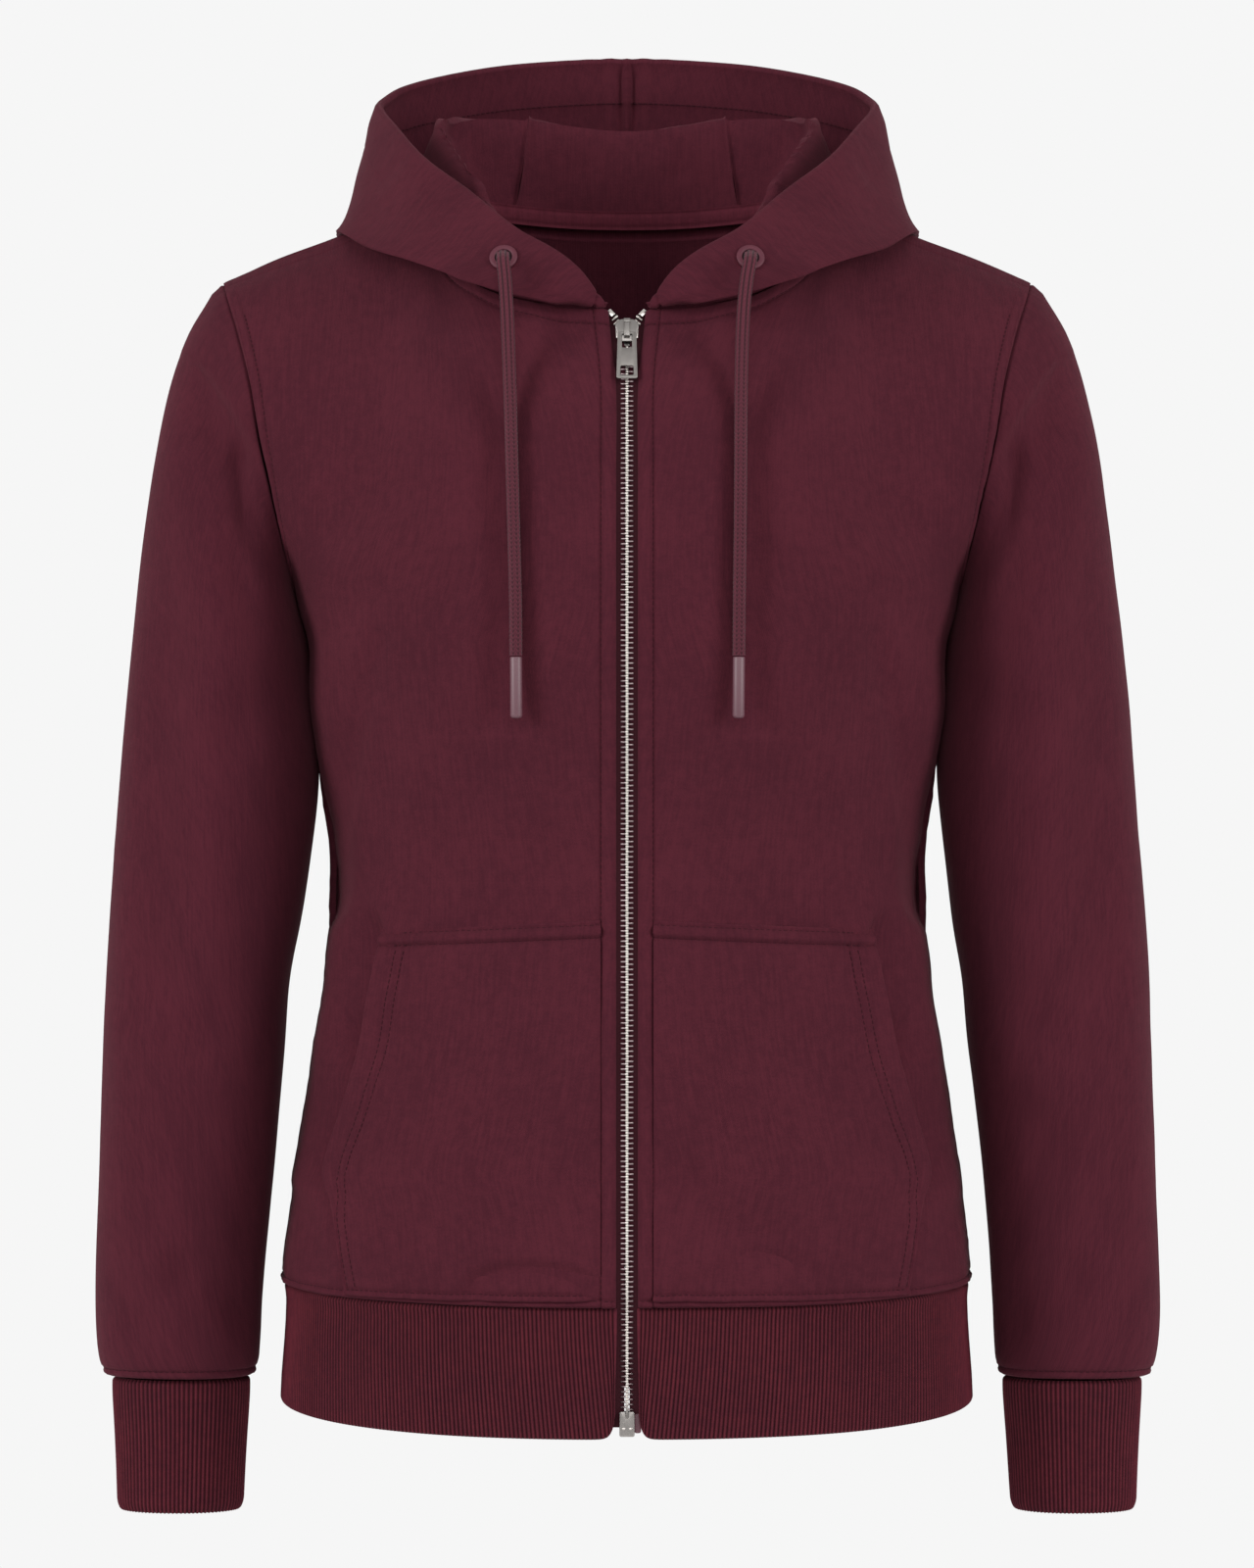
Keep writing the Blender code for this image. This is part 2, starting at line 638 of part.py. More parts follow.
def pocket_grid():
    """Rows from the hem seam up, columns from the placket out to the opening's edge."""
    heights = [row.z for row in POCKET_EDGE]
    edge = [Vector((row.x, row.z, 0)) for row in POCKET_EDGE]
    rows = []
    for row in range(POCKET_ROWS + 1):
        place = row / POCKET_ROWS
        top = heights[-1]
        z_edge = heights[0] + (top - heights[0]) * place
        outer_x = smooth_point(edge, place_of(heights, z_edge)).x
        line = []
        for column in range(POCKET_COLUMNS + 1):
            share = column / POCKET_COLUMNS
            x = POCKET_INNER_X + (outer_x - POCKET_INNER_X) * share
            z = z_edge + POCKET_TOP_RISE * (1 - share) * place
            half_width = torso_ring(z)[0]
            across = (x - FRONT_EDGE) / (half_width - FRONT_EDGE)
            round_share = math.asin(across ** (BODY_POWER / 2)) * 2 / math.pi
            line.append(ring_point(round_share, z, start=FRONT_EDGE))
        rows.append(line)
    return rows


def add_pockets(finish):
    grid = pocket_grid()
    grid = moved(grid, normals(grid), KNIT + POCKET_STAND)
    add_cloth("pocket_{side}", grid, KNIT, finish, sides=BOTH_SIDES)


def hood_lines():
    """The hood's rows from neck to rim: a point for each station and one past the middle."""
    sections = [hood_section(station, HOOD_ROWS) for station in range(LAST_STATION + 1)]
    lines = [list(line) for line in zip(*sections)]
    for line in lines:
        past = line[LAST_STATION - 1]
        line.append(Vector((-past.x, past.y, past.z)))
    return lines


def hood_grid(ends, rows, columns):
    """Rows of points between two seams, and the ways out of the cloth. ends gives a row's ends."""
    lines = hood_lines()
    grid = []
    ways = []
    for row in range(rows + 1):
        low, high = ends(row, (lines[row][LAST_STATION] - lines[row][LAST_STATION - 1]).length)
        above = lines[min(row + 1, HOOD_ROWS)]
        below = lines[max(row - 1, 0)]
        places = [low + (high - low) * c / columns for c in range(columns + 1)]
        grid.append([smooth_point(lines[row], place) for place in places])
        line = []
        for place in places:
            before, after = (smooth_point(lines[row], place + step) for step in (-TANGENT_STEP, TANGENT_STEP))
            along = after - before
            upward = smooth_point(above, place) - smooth_point(below, place)
            line.append(along.cross(upward).normalized())
        ways.append(line)
    return grid, ways


def side_ends(row, spacing):
    """A side panel runs to the centre panel, and above its tip to the other side panel."""
    if row > CENTRE_PANEL_ROWS:
        return 0, LAST_STATION - SEAM_GAP / 2 / spacing
    return 0, hood_seam(row) - SEAM_GAP / spacing


def centre_ends(row, spacing):
    return hood_seam(row), LAST_STATION


def add_hood(finish):
    grid, ways = hood_grid(side_ends, HOOD_ROWS, HOOD_COLUMNS)
    add_cloth("hood_{side}", grid, KNIT, finish, sides=BOTH_SIDES, ways=ways)
    half, ways = hood_grid(centre_ends, CENTRE_PANEL_ROWS, CENTRE_PANEL_COLUMNS)
    whole = [right + left[-2::-1] for left, right in zip(mirrored(half), half)]
    ways = [right + left[-2::-1] for left, right in zip(mirrored(ways), ways)]
    add_cloth("hood_centre", whole, KNIT, finish, ways=ways)


# ---------------------------------------------------------------- the zip
def zip_profile():
    """The middle of the front from the hem's edge up, with the direction out of the cloth at each point."""
    column = [hem_point(0, drop) for drop in reversed(HEM_DROPS)]
    column += [row[0] for row in body_grid(back=False)]
    column = [Vector((0, point.y, point.z)) for point in column]
    profile = []
    for index, point in enumerate(column):
        along = column[min(index + 1, len(column) - 1)] - column[max(index - 1, 0)]
        profile.append((point, Vector((0, -along.z, along.y)).normalized()))
    return profile


def zip_place(z, depth=0.0):
    """The place on the zip's line at a height, this deep behind the cloth's face, and the way out."""
    profile = zip_profile()
    heights = [point.z for point, way in profile]
    place = place_of(heights, z)
    index = min(int(place), len(profile) - 2)
    point = profile[index][0].lerp(profile[index + 1][0], place - index)
    way = profile[index][1].lerp(profile[index + 1][1], place - index).normalized()
    return point - way * depth, way


def zip_strip(bottom, top, x_inner, x_outer, half_thick):
    """The two faces of a strip that follows the zip's line at the depth of its tapes."""
    heights = [point.z for point, way in zip_profile() if bottom < point.z < top]
    faces = ([], [])
    for z in [bottom] + heights + [top]:
        for side, face in zip((-1, 1), faces):
            point, way = zip_place(z, ZIP_DEPTH + side * half_thick)
            face.append([point + Vector((x, 0, 0)) for x in (x_inner, x_outer)])
    return faces


def add_zip_strips(tape, steel):
    outer, inner = zip_strip(ZIP_BOTTOM_Z, ZIP_TOP_Z, TAPE_INNER_X, TAPE_OUTER_X, TAPE / 2)
    add_wall("zip_tape_right", outer, inner, tape)
    add_wall("zip_tape_left", mirrored(outer), mirrored(inner), tape)
    top = SLIDER_Z + CHAIN_REACH
    outer, inner = zip_strip(BOX_TOP_Z + SEAM_GAP, top, -CHAIN_HALF_WIDTH, CHAIN_HALF_WIDTH, CHAIN_THICK / 2)
    add_wall("zip_chain", outer, inner, steel)
    half = BOX_THICK / 2
    outer, inner = zip_strip(BOX_BOTTOM_Z, BOX_TOP_Z, -BOX_HALF_WIDTH, BOX_HALF_WIDTH, half)
    add_wall("zip_box", outer, inner, steel)


def prism(name, outline, axis, low, high, finish, helper=True):
    """An outline in the other two axes, made solid along this one. A helper only joins or cuts."""
    corners = []
    for level in (low, high):
        for first, second in outline:
            values = [first, second]
            values.insert(axis, level)
            corners.append(Vector(values))
    count = len(outline)
    faces = [tuple(range(count)), tuple(range(2 * count - 1, count - 1, -1))]
    faces += [(c, (c + 1) % count, (c + 1) % count + count, c + count) for c in range(count)]
    obj = add_object(name, closed_mesh(name, corners, faces), finish)
    if helper:
        obj.hide_render = True
        obj.display_type = "WIRE"
    return obj


def box_outline(low, high):
    return [(low[0], low[1]), (high[0], low[1]), (high[0], high[1]), (low[0], high[1])]


def combine(obj, helper, operation):
    step = obj.modifiers.new(helper.name, "BOOLEAN")
    step.operation = operation
    step.object = helper
    helper.parent = obj.parent


def add_slider(finish, pull_finish):
    """The slider and its pull are drawn upright, then leaned back as the zip leans there."""
    point, way = zip_place(SLIDER_Z, ZIP_DEPTH)
    seat = bpy.data.objects.new("slider_seat", None)
    bpy.context.scene.collection.objects.link(seat)
    seat.location = point * MM
    seat.rotation_euler = (math.atan2(-way.z, -way.y), 0, 0)

    slider = prism("zip_slider", PLATE, 1, -PLATE_OUTER_Y, -PLATE_INNER_Y, finish, helper=False)
    slider.parent = seat
    combine(slider, prism("slider_back", PLATE, 1, PLATE_INNER_Y, PLATE_OUTER_Y, finish), "UNION")
    post = box_outline((-POST_HALF_WIDTH, POST_LOW), (POST_HALF_WIDTH, POST_HIGH))
    reach = (PLATE_INNER_Y + PLATE_OUTER_Y) / 2
    combine(slider, prism("slider_post", post, 1, -reach, reach, finish), "UNION")
    combine(slider, prism("slider_crown", CROWN, 0, -CROWN_HALF_WIDTH, CROWN_HALF_WIDTH, finish), "UNION")

    hinge = bpy.data.objects.new("pull_hinge", None)
    bpy.context.scene.collection.objects.link(hinge)
    hinge.parent = seat
    hinge.location = Vector((0, PULL_AXIS_Y, PULL_AXIS_Z)) * MM
    half = PULL_THICK / 2
    pull = prism("zip_pull", PULL, 1, -half, half, pull_finish, helper=False)
    pull.parent = hinge
    for name, hole in (("pull_slot", PULL_SLOT), ("pull_window", PULL_WINDOW)):
        combine(pull, prism(name, hole, 1, -2 * half, 2 * half, pull_finish), "DIFFERENCE")


# ---------------------------------------------------------------- cords, tips and eyelets
def add_stack(name, rings, finish):
    """A solid through rings of points, closed at both ends."""
    count = len(rings[0])
    faces = [tuple(range(count)), tuple(range(len(rings) * count - 1, (len(rings) - 1) * count - 1, -1))]
    for low in range(0, (len(rings) - 1) * count, count):
        for c in range(count):
            after = (c + 1) % count
            faces.append((low + c, low + after, low + after + count, low + c + count))
    points = [point for ring in rings for point in ring]
    return add_object(name, smoothed(closed_mesh(name, points, faces)), finish)


def add_cord(side, finish, tip_finish):
    route = [Vector(point) for point in CORD_ROUTES[side]]
    data = bpy.data.curves.new(f"cord_{side}", "CURVE")
    data.dimensions = "3D"
    data.bevel_depth = CORD_DIAMETER / 2 * MM
    data.bevel_resolution = 2
    data.use_fill_caps = True
    spline = data.splines.new("POLY")
    steps = CORD_STEPS * (len(route) - 1)
    spline.points.add(steps)
    for step in range(steps + 1):
        point = smooth_point(route, step / CORD_STEPS) * MM
        spline.points[step].co = (*point, 1)
    cord = bpy.data.objects.new(f"cord_{side}", data)
    data.materials.append(finish)
    bpy.context.scene.collection.objects.link(cord)

    down = (route[-1] - route[-2]).normalized()
    turn = Vector((0, 0, -1)).rotation_difference(down).to_matrix()
    rings = []
    for radius, drop in AGLET_PROFILE:
        ring = []
        for c in range(AGLET_SIDES):
            angle = 2 * math.pi * c / AGLET_SIDES
            local = Vector((radius * math.cos(angle), radius * math.sin(angle), -drop - SEAM_GAP))
            ring.append(route[-1] + turn @ local)
        rings.append(ring)
    add_stack(f"aglet_{side}", rings, tip_finish)


def eyelet_seat():
    """The middle of the right eyelet on the hood's face, and the direction out of the cloth."""
    rows = [smooth_point(line, EYELET_STATION) for line in hood_lines()]
    beside = [smooth_point(line, EYELET_STATION + TANGENT_STEP) for line in hood_lines()]
    place = EYELET_SHARE * HOOD_ROWS
    middle = smooth_point(rows, place)
    along = smooth_point(beside, place) - middle
    upward = smooth_point(rows, place + TANGENT_STEP) - middle
    return middle, along.cross(upward).normalized()


def add_eyelets(finish):
    middle, out = eyelet_seat()
    turn = Vector((0, 0, 1)).rotation_difference(out).to_matrix()
    grid = []
    for radius, height in EYELET_PROFILE:
        row = []
        for c in range(EYELET_SIDES):
            angle = 2 * math.pi * c / EYELET_SIDES
            local = Vector((radius * math.cos(angle), radius * math.sin(angle), height + EYELET_STAND))
            row.append(middle + turn @ local)
        grid.append(row)
    top, bottom = grid[: len(grid) // 2], grid[: len(grid) // 2 - 1 : -1]
    add_wall("eyelet_right", top, bottom, finish, ringed=True)
    add_wall("eyelet_left", mirrored(top), mirrored(bottom), finish, ringed=True)


def add_neck_tape(finish):
    """The tape over the back neck seam, from one shoulder to the other."""
    half = []
    for column in range(NECK_TAPE_COLUMNS + 1):
        place = LAST_STATION + (NECK_TAPE_STATION - LAST_STATION) * column / NECK_TAPE_COLUMNS
        half.append((neck_seam(place), neck_seam(place - TANGENT_STEP) - neck_seam(place + TANGENT_STEP)))
    rows = []
    for rise in NECK_TAPE_RISES:
        row = []
        for point, along in half:
            inward = Vector((along.y, -along.x, 0)).normalized()
            row.append(point + inward * NECK_TAPE_INSET + Vector((0, 0, rise)))
        rows.append(row)
    whole = [left[:0:-1] + right for left, right in zip(mirrored(rows), rows)]
    add_cloth("neck_tape", whole, TAPE, finish)


def main():
    for obj in list(bpy.data.objects):
        bpy.data.objects.remove(obj, do_unlink=True)
    knit = material("sweatshirt_knit")
    rib = material("rib_knit")
    tape = material("woven_tape")
    cord = material("braided_cord")
    tip = material("moulded_tip")
    steel = material("zip_steel")
    add_body(knit)
    add_sleeves(knit)
    add_cuffs(rib)
    add_hem(rib)
    add_pockets(knit)
    add_hood(knit)
    add_neck_tape(tape)
    add_zip_strips(tape, steel)
    add_slider(steel, material("pull_steel"))
    for side in BOTH_SIDES:
        add_cord(side, cord, tip)
    add_eyelets(material("painted_eyelet"))


main()
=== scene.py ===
"""Looks for a zip-up hoodie in brushed sweatshirt knit, filled out as when worn.

The front faces -Y, +X is the viewer's right and +Z is up. Sizes and places are in millimetres until a
mesh is made. Every cloth shell follows the form of its solid, with the creases, seams and stitches
that the solid leaves out.
"""

import math
from collections import namedtuple

import bmesh
import bpy
import numpy as np
from mathutils import Matrix, Vector


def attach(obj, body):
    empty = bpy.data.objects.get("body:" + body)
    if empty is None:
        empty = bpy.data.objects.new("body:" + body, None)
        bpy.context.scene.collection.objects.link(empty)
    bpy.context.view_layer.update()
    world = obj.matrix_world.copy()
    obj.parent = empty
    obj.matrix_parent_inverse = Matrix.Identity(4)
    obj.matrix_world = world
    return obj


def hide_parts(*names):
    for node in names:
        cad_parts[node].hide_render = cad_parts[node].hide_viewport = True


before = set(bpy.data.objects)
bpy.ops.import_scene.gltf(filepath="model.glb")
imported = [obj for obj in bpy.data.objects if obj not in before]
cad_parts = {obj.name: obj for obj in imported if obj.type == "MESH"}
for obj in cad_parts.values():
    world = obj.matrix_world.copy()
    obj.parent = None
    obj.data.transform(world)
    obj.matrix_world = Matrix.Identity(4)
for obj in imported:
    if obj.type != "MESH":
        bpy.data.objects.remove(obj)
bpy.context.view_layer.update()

MM = 0.001
BODY = "garment"
BOTH_SIDES = (("left", -1), ("right", 1))
rng = np.random.default_rng(7)


# ---------------------------------------------------------------- camera and stage
CAMERA_DISTANCE = 2.8
CAMERA_HEIGHT = -0.307
FRAME_HEIGHT = 0.816  # what the camera sees from top to bottom at the middle of the garment
SENSOR = 36.0
FLOOR_HEIGHT = -0.96
FLOOR_RADIUS = 1.1


def add_camera():
    data = bpy.data.cameras.new("camera")
    data.sensor_fit = "AUTO"
    data.sensor_width = SENSOR
    data.lens = SENSOR * CAMERA_DISTANCE / FRAME_HEIGHT
    camera = bpy.data.objects.new("camera", data)
    camera.location = (0, -CAMERA_DISTANCE, CAMERA_HEIGHT)
    camera.rotation_euler = (math.pi / 2, 0, 0)
    bpy.context.scene.collection.objects.link(camera)
    bpy.context.scene.camera = camera


add_camera()


# ---------------------------------------------------------------- sizes, as in the solids
KNIT = 1.8  # thickness of the sweatshirt knit
TAPE = 0.8
FRONT_EDGE = 6.2
ARMPIT_Z = -215.0
HEM_SEAM = (-564.5, -569.0)
HEM_EDGE = (-625.0, -634.0)
HEM_CORNER_RISE = 9.0  # the band's bottom corners by the zip are rounded off this high
HEM_CORNER_REACH = 1.9
BAND_THICK = 2.8  # cuffs and hem band: the rib is folded double
BODY_POWER = 2.3
EDGE_FADE = 2.0
BODY_RISE = 1.6
SLEEVE_POWER = 2.15
ARMHOLE_HOLD = 4
NEARLY_ZERO = 1e-9

Ring = namedtuple("Ring", "z half_width front back")
TORSO = [
    #    z     half_width  front  back
    Ring(-634, 179.0, -118.0, 117.0),
    Ring(-613, 178.0, -117.5, 117.0),
    Ring(-593, 176.7, -116.5, 116.0),
    Ring(-573, 176.0, -115.5, 115.0),
    Ring(-560, 178.0, -118.0, 117.0),
    Ring(-545, 177.0, -117.5, 116.0),
    Ring(-512, 172.6, -115.0, 112.0),
    Ring(-471, 166.0, -112.0, 105.0),
    Ring(-430, 159.0, -109.0, 97.0),
    Ring(-389, 154.8, -107.0, 91.0),
    Ring(-348, 154.5, -108.0, 90.0),
    Ring(-307, 158.4, -112.0, 94.0),
    Ring(-273, 163.5, -116.0, 99.0),
    Ring(-236, 166.0, -118.0, 103.0),
    Ring(-215, 170.5, -117.5, 104.0),
]

Point = namedtuple("Point", "x y z")
ZIP_LINE = [Point(6.2, -117.5, -215), Point(6.2, -111, -150), Point(6.4, -99.5, -105), Point(10.4, -83, -67)]
BACK_LINE = [Point(0, 104, -215), Point(0, 104, -150), Point(0, 95, -85), Point(0, 66, -8)]
SHOULDER = [Point(104, 5, 0), Point(149, 3, -21.5), Point(183, 1, -34.4), Point(210, 0, -46.4)]
ARMHOLE_FRONT = [
    Point(170.5, 0, -215),
    Point(174, -30, -195),
    Point(181, -48, -162),
    Point(188, -56, -130),
    Point(193.5, -52, -101),
    Point(200, -38, -76),
    Point(207, -18, -55),
    Point(210, 0, -46.4),
]
ARMHOLE_BACK = [
    Point(170.5, 0, -215),
    Point(175, 32, -194),
    Point(183, 52, -162),
    Point(190, 61, -126),
    Point(197, 57, -94),
    Point(204, 40, -68),
    Point(209, 18, -51),
    Point(210, 0, -46.4),
]

# The neck seam, the crest of the layer that stands by the neck, the two sides of the bag's bottom, and
# the rim.
Station = namedtuple("Station", "neck crest inner_bottom outer_bottom rim")
HOOD = [
    Station((10.4, -83, -67), (10.5, -84, -66.7), (10.6, -85, -66.4), (10.8, -85.8, -66), (11, -86.4, -65.6)),
    Station((22, -82, -66), (22, -85.5, -65.4), (22, -90, -66), (22.5, -93, -63), (22.5, -89.5, -50)),
    Station((38, -80.5, -65), (38, -83, -61), (38, -90, -64.5), (38, -96.5, -65.5), (37, -86, -38)),
    Station((56, -76, -60.5), (55, -66, -36), (58, -79, -48), (59, -95.5, -61.5), (58, -79, -26)),
    Station((74, -68, -54), (68, -44, -13), (76, -64, -37), (82, -89.5, -53.5), (82, -59, -5)),
    Station((90, -52, -43), (82, -22, 12), (95, -38, -21), (107, -72, -43.5), (107, -34, 15)),
    Station((101, -28, -24), (93, 4, 30), (110, -4, -3), (131, -45, -33.5), (123, 2, 35)),
    Station((104, 5, 0), (98, 22, 40), (114, 20, 6), (150.5, -5, -21), (132.5, 36, 49)),
    Station((95, 33, -2), (88, 46, 45.5), (112, 60, -17), (151, 55, -25), (132, 61, 55.5)),
    Station((73, 51, -4.5), (70, 60, 46.5), (90, 93, -50), (132, 108, -55), (119, 87, 66.5)),
    Station((48, 60, -6.5), (52, 68, 46), (58, 107, -82), (86, 141, -88), (77, 120, 79.5)),
    Station((24, 64.5, -7.7), (26, 72, 42), (28, 113, -95), (42, 153, -101), (38, 135, 85)),
    Station((0, 66, -8), (0, 74, 39.5), (0, 114, -98), (0, 157, -104), (0, 140, 87)),
]
NECK_POINT_STATION = 7
CENTRE_PANEL_STATION = 10
LAST_STATION = 12
HOOD_LIFT = 0.4
TAPER_START = 0.45
TAPER_END = 0.8125
TAPER_TIP = 0.015
SEAM_FLARE = 0.5  # how far the centre panel's seams spread at the neck, in stations
HOOD_SOFTNESS = 5.0  # mm over which the hood's folds are rounded
RIM_SOFTNESS = 5.0  # and along its rim
HOOD_HOLLOW = 5.6  # how far the hood's sides draw in between their bottom fold and the rim
HOLLOW_STATION = 7.4  # where along the hood they draw in most, and over how many stations
HOLLOW_STATIONS = 2.2
HOLLOW_START = 0.762  # where up the section, from neck to rim, they start to, and over what share of it
HOLLOW_SHARE = 0.22
CORNER_TURNS = 60
CORD_DIAMETER = 6.4
CORD_WALES = 8  # columns of knit loops round the cord
CORD_WALE = CORD_DIAMETER * math.pi / CORD_WALES
LOOP_PITCH = 2.2

Turn = namedtuple("Turn", "outer_x outer_z inner_x inner_z half_depth centre_y")
SLEEVE = [
    #    outer_x outer_z inner_x inner_z half_depth centre_y
    Turn(216.4, -52, 169.4, -221, 60.0, 1.0),
    Turn(229.0, -74, 166.8, -230, 62.0, 1.0),
    Turn(238.8, -104, 165.4, -241, 62.0, 1.0),
    Turn(246.0, -144, 164.6, -253, 61.0, 1.0),
    Turn(252.0, -185, 163.2, -269, 60.0, 0.5),
    Turn(257.0, -228, 161.2, -289, 58.5, 0.0),
    Turn(261.0, -270, 161.6, -313, 57.0, 0.0),
    Turn(265.0, -318, 165.0, -344, 55.0, 0.0),
    Turn(268.0, -366, 169.5, -378, 53.0, -1.0),
    Turn(271.0, -410, 175.0, -410, 50.0, -2.0),
    Turn(272.5, -450, 178.0, -450, 47.0, -3.0),
    Turn(274.0, -491, 182.0, -491, 44.0, -5.0),
    Turn(275.0, -532, 186.5, -532, 41.0, -7.0),
    Turn(275.5, -573, 189.3, -573, 38.5, -9.0),
    Turn(274.8, -594, 190.0, -594, 36.5, -10.0),
    Turn(273.0, -606, 191.0, -606, 34.0, -10.5),
    Turn(269.5, -613, 193.5, -613, 31.0, -10.5),
]
CUFF = [
    Turn(266.8, -613.6, 195.0, -613.6, 28.5, -10.5),
    Turn(264.6, -642, 197.2, -642, 26.3, -11.2),
    Turn(263.3, -681, 199.4, -681, 25.0, -12.0),
]

Opening = namedtuple("Opening", "z x")
POCKET_EDGE = [
    Opening(-566.0, 141.2),
    Opening(-533.0, 145.4),
    Opening(-519.0, 148.0),
    Opening(-505.0, 151.6),
    Opening(-477.0, 142.5),
    Opening(-442.0, 132.5),
    Opening(-408.0, 126.7),
    Opening(-381.0, 123.7),
]
POCKET_INNER_X = 13.2
POCKET_TOP_RISE = 5.0


# ---------------------------------------------------------------- curves and surfaces
def smooth(points, place):
    """The smooth curve through the given points, at any array of places counted in intervals."""
    points = np.asarray(points, float)
    place = np.asarray(place, float)
    last = len(points) - 1
    index = np.clip(np.floor(place).astype(int), 0, last - 1)
    share = (place - index)[..., None]
    start, end = points[index], points[index + 1]
    before, after = points[np.maximum(index - 1, 0)], points[np.minimum(index + 2, last)]
    length = np.linalg.norm(end - start, axis=-1, keepdims=True)
    run_in = np.linalg.norm(start - before, axis=-1, keepdims=True) + length
    run_out = np.linalg.norm(after - end, axis=-1, keepdims=True) + length
    slope_in = (end - before) / run_in * length
    slope_out = (after - start) / run_out * length
    square, cube = share**2, share**3
    return (
        start * (2 * cube - 3 * square + 1)
        + slope_in * (cube - 2 * square + share)
        + end * (3 * square - 2 * cube)
        + slope_out * (cube - square)
    )


def place_of(values, value):
    """Where each value lies in a rising list, counted in intervals."""
    values = np.asarray(values, float)
    index = np.clip(np.searchsorted(values, value) - 1, 0, len(values) - 2)
    return index + (value - values[index]) / (values[index + 1] - values[index])


def ring_point(share, z, back=False, start=0.0):
    """Points of the torso's ring, from the middle at share 0 to the side seam at share 1."""
    row = smooth([(r.half_width, r.front, r.back) for r in TORSO], place_of([r.z for r in TORSO], z))
    angle = share * np.pi / 2
    across = np.sin(angle) ** (2 / BODY_POWER)
    along = np.maximum(np.cos(angle), 0.0) ** (2 / BODY_POWER)
    x = start + (row[..., 0] - start) * across
    y = row[..., 2 if back else 1] * along
    return np.stack([x, y, z + 0 * x], axis=-1)


def hem_height(share, side, middle):
    return side + (middle - side) * np.cos(share * np.pi / 2)


def on_line(table, share):
    return smooth(table, np.asarray(share) * (len(table) - 1))


def neck_seam(place):
    return smooth([station.neck for station in HOOD], place)


def top_edge(share, back, neck_columns):
    """The neck seam up to the neck point, then the shoulder seam out to its tip."""
    corner = neck_columns / (neck_columns + 5)
    middle = LAST_STATION if back else 0
    neck = neck_seam(middle + (NECK_POINT_STATION - middle) * share / corner)
    shoulder = on_line(SHOULDER, np.maximum(share - corner, 0) / (1 - corner))
    return np.where((share > corner)[:, None], shoulder, neck)


def lower_grid(shares, levels, back):
    """The panel between the hem seam (level 0) and the armpit (level 1)."""
    bottom = hem_height(shares, *HEM_SEAM)[None, :]
    z = bottom + (ARMPIT_Z - bottom) * np.asarray(levels)[:, None]
    return ring_point(np.broadcast_to(shares, z.shape), z, back, 0.0 if back else FRONT_EDGE)


def upper_grid(shares, rises, back):
    """The panel between the armpit's level (rise 0) and the top edge (rise 1), fitted to four edges."""
    start = 0.0 if back else FRONT_EDGE
    rises = np.asarray(rises, float)
    base = ring_point(shares, np.full_like(shares, ARMPIT_Z), back, start)[None]
    top = top_edge(shares, back, 5 if back else 7)[None]
    soft = top.copy()  # the corner where the neck meets the shoulder eases out in the cloth below it
    for _ in range(CORNER_TURNS):
        soft[:, 1:-1] = soft[:, 1:-1] / 2 + (soft[:, :-2] + soft[:, 2:]) / 4
    top = top + (soft - top) * np.clip((1 - rises) / 0.22, 0, 1)[:, None, None]
    edges = (
        on_line(BACK_LINE if back else ZIP_LINE, rises),
        on_line(ARMHOLE_BACK if back else ARMHOLE_FRONT, rises),
    )
    blend = np.stack([rises, rises**BODY_RISE, rises], axis=-1)[:, None, :]
    grid = (1 - blend) * base + blend * top
    for edge, column, weight in zip(edges, (0, -1), ((1 - shares) ** EDGE_FADE, shares**EDGE_FADE)):
        end = slice(column, column + 1 or None)
        gap = edge[:, None, :] - (1 - blend) * base[:, end] - blend * top[:, end]
        grid = grid + weight[None, :, None] * gap
    return grid


def body_grid(back, columns, lower_rows, upper_rows):
    shares = np.linspace(0, 1, columns + 1)
    lower = lower_grid(shares, np.arange(lower_rows) / lower_rows, back)
    rises = (1 - np.cos(np.pi * np.linspace(0, 1, upper_rows + 1))) / 2
    return np.concatenate([lower, upper_grid(shares, rises, back)])


def hood_seam(share):
    """Where the seam of the centre panel lies, in stations: it tapers to a tip in the middle."""
    taper = np.clip((share - TAPER_START) / (TAPER_END - TAPER_START), 0, 1)
    eased = taper * taper * (3 - 2 * taper)
    flare = SEAM_FLARE * np.clip(1 - share / 0.25, 0, 1)
    return CENTRE_PANEL_STATION - flare + (LAST_STATION - TAPER_TIP - CENTRE_PANEL_STATION) * eased


def hood_lines():
    """The hood's section at each station and one past the middle, neck to rim, its folds rounded."""
    sections = np.array([[tuple(point) for point in station] for station in HOOD], float)
    sections[:, 0, 2] += HOOD_LIFT
    shares = np.linspace(0, 1, 241)
    lines = np.stack([smooth(section, 4 * shares) for section in sections], axis=1)
    lengths = np.linalg.norm(np.diff(lines, axis=0), axis=-1).sum(axis=0)
    for column, length in enumerate(lengths):
        line = lines[:, column]
        for _ in range(int(2 * (min(HOOD_SOFTNESS, length / 12) / (length / 240)) ** 2)):
            line[1:-1] = line[1:-1] / 2 + (line[:-2] + line[2:]) / 4
    side = np.exp(-(((np.arange(len(HOOD)) - HOLLOW_STATION) / HOLLOW_STATIONS) ** 2))
    hollow = np.sin(np.pi * np.clip((shares - HOLLOW_START) / HOLLOW_SHARE, 0, 1) ** 0.62) ** 1.5
    lines[..., 0] -= HOOD_HOLLOW * hollow[:, None] * side[None]
    past = lines[:, LAST_STATION - 1 : LAST_STATION] * (-1, 1, 1)
    return np.concatenate([lines, past], axis=1)


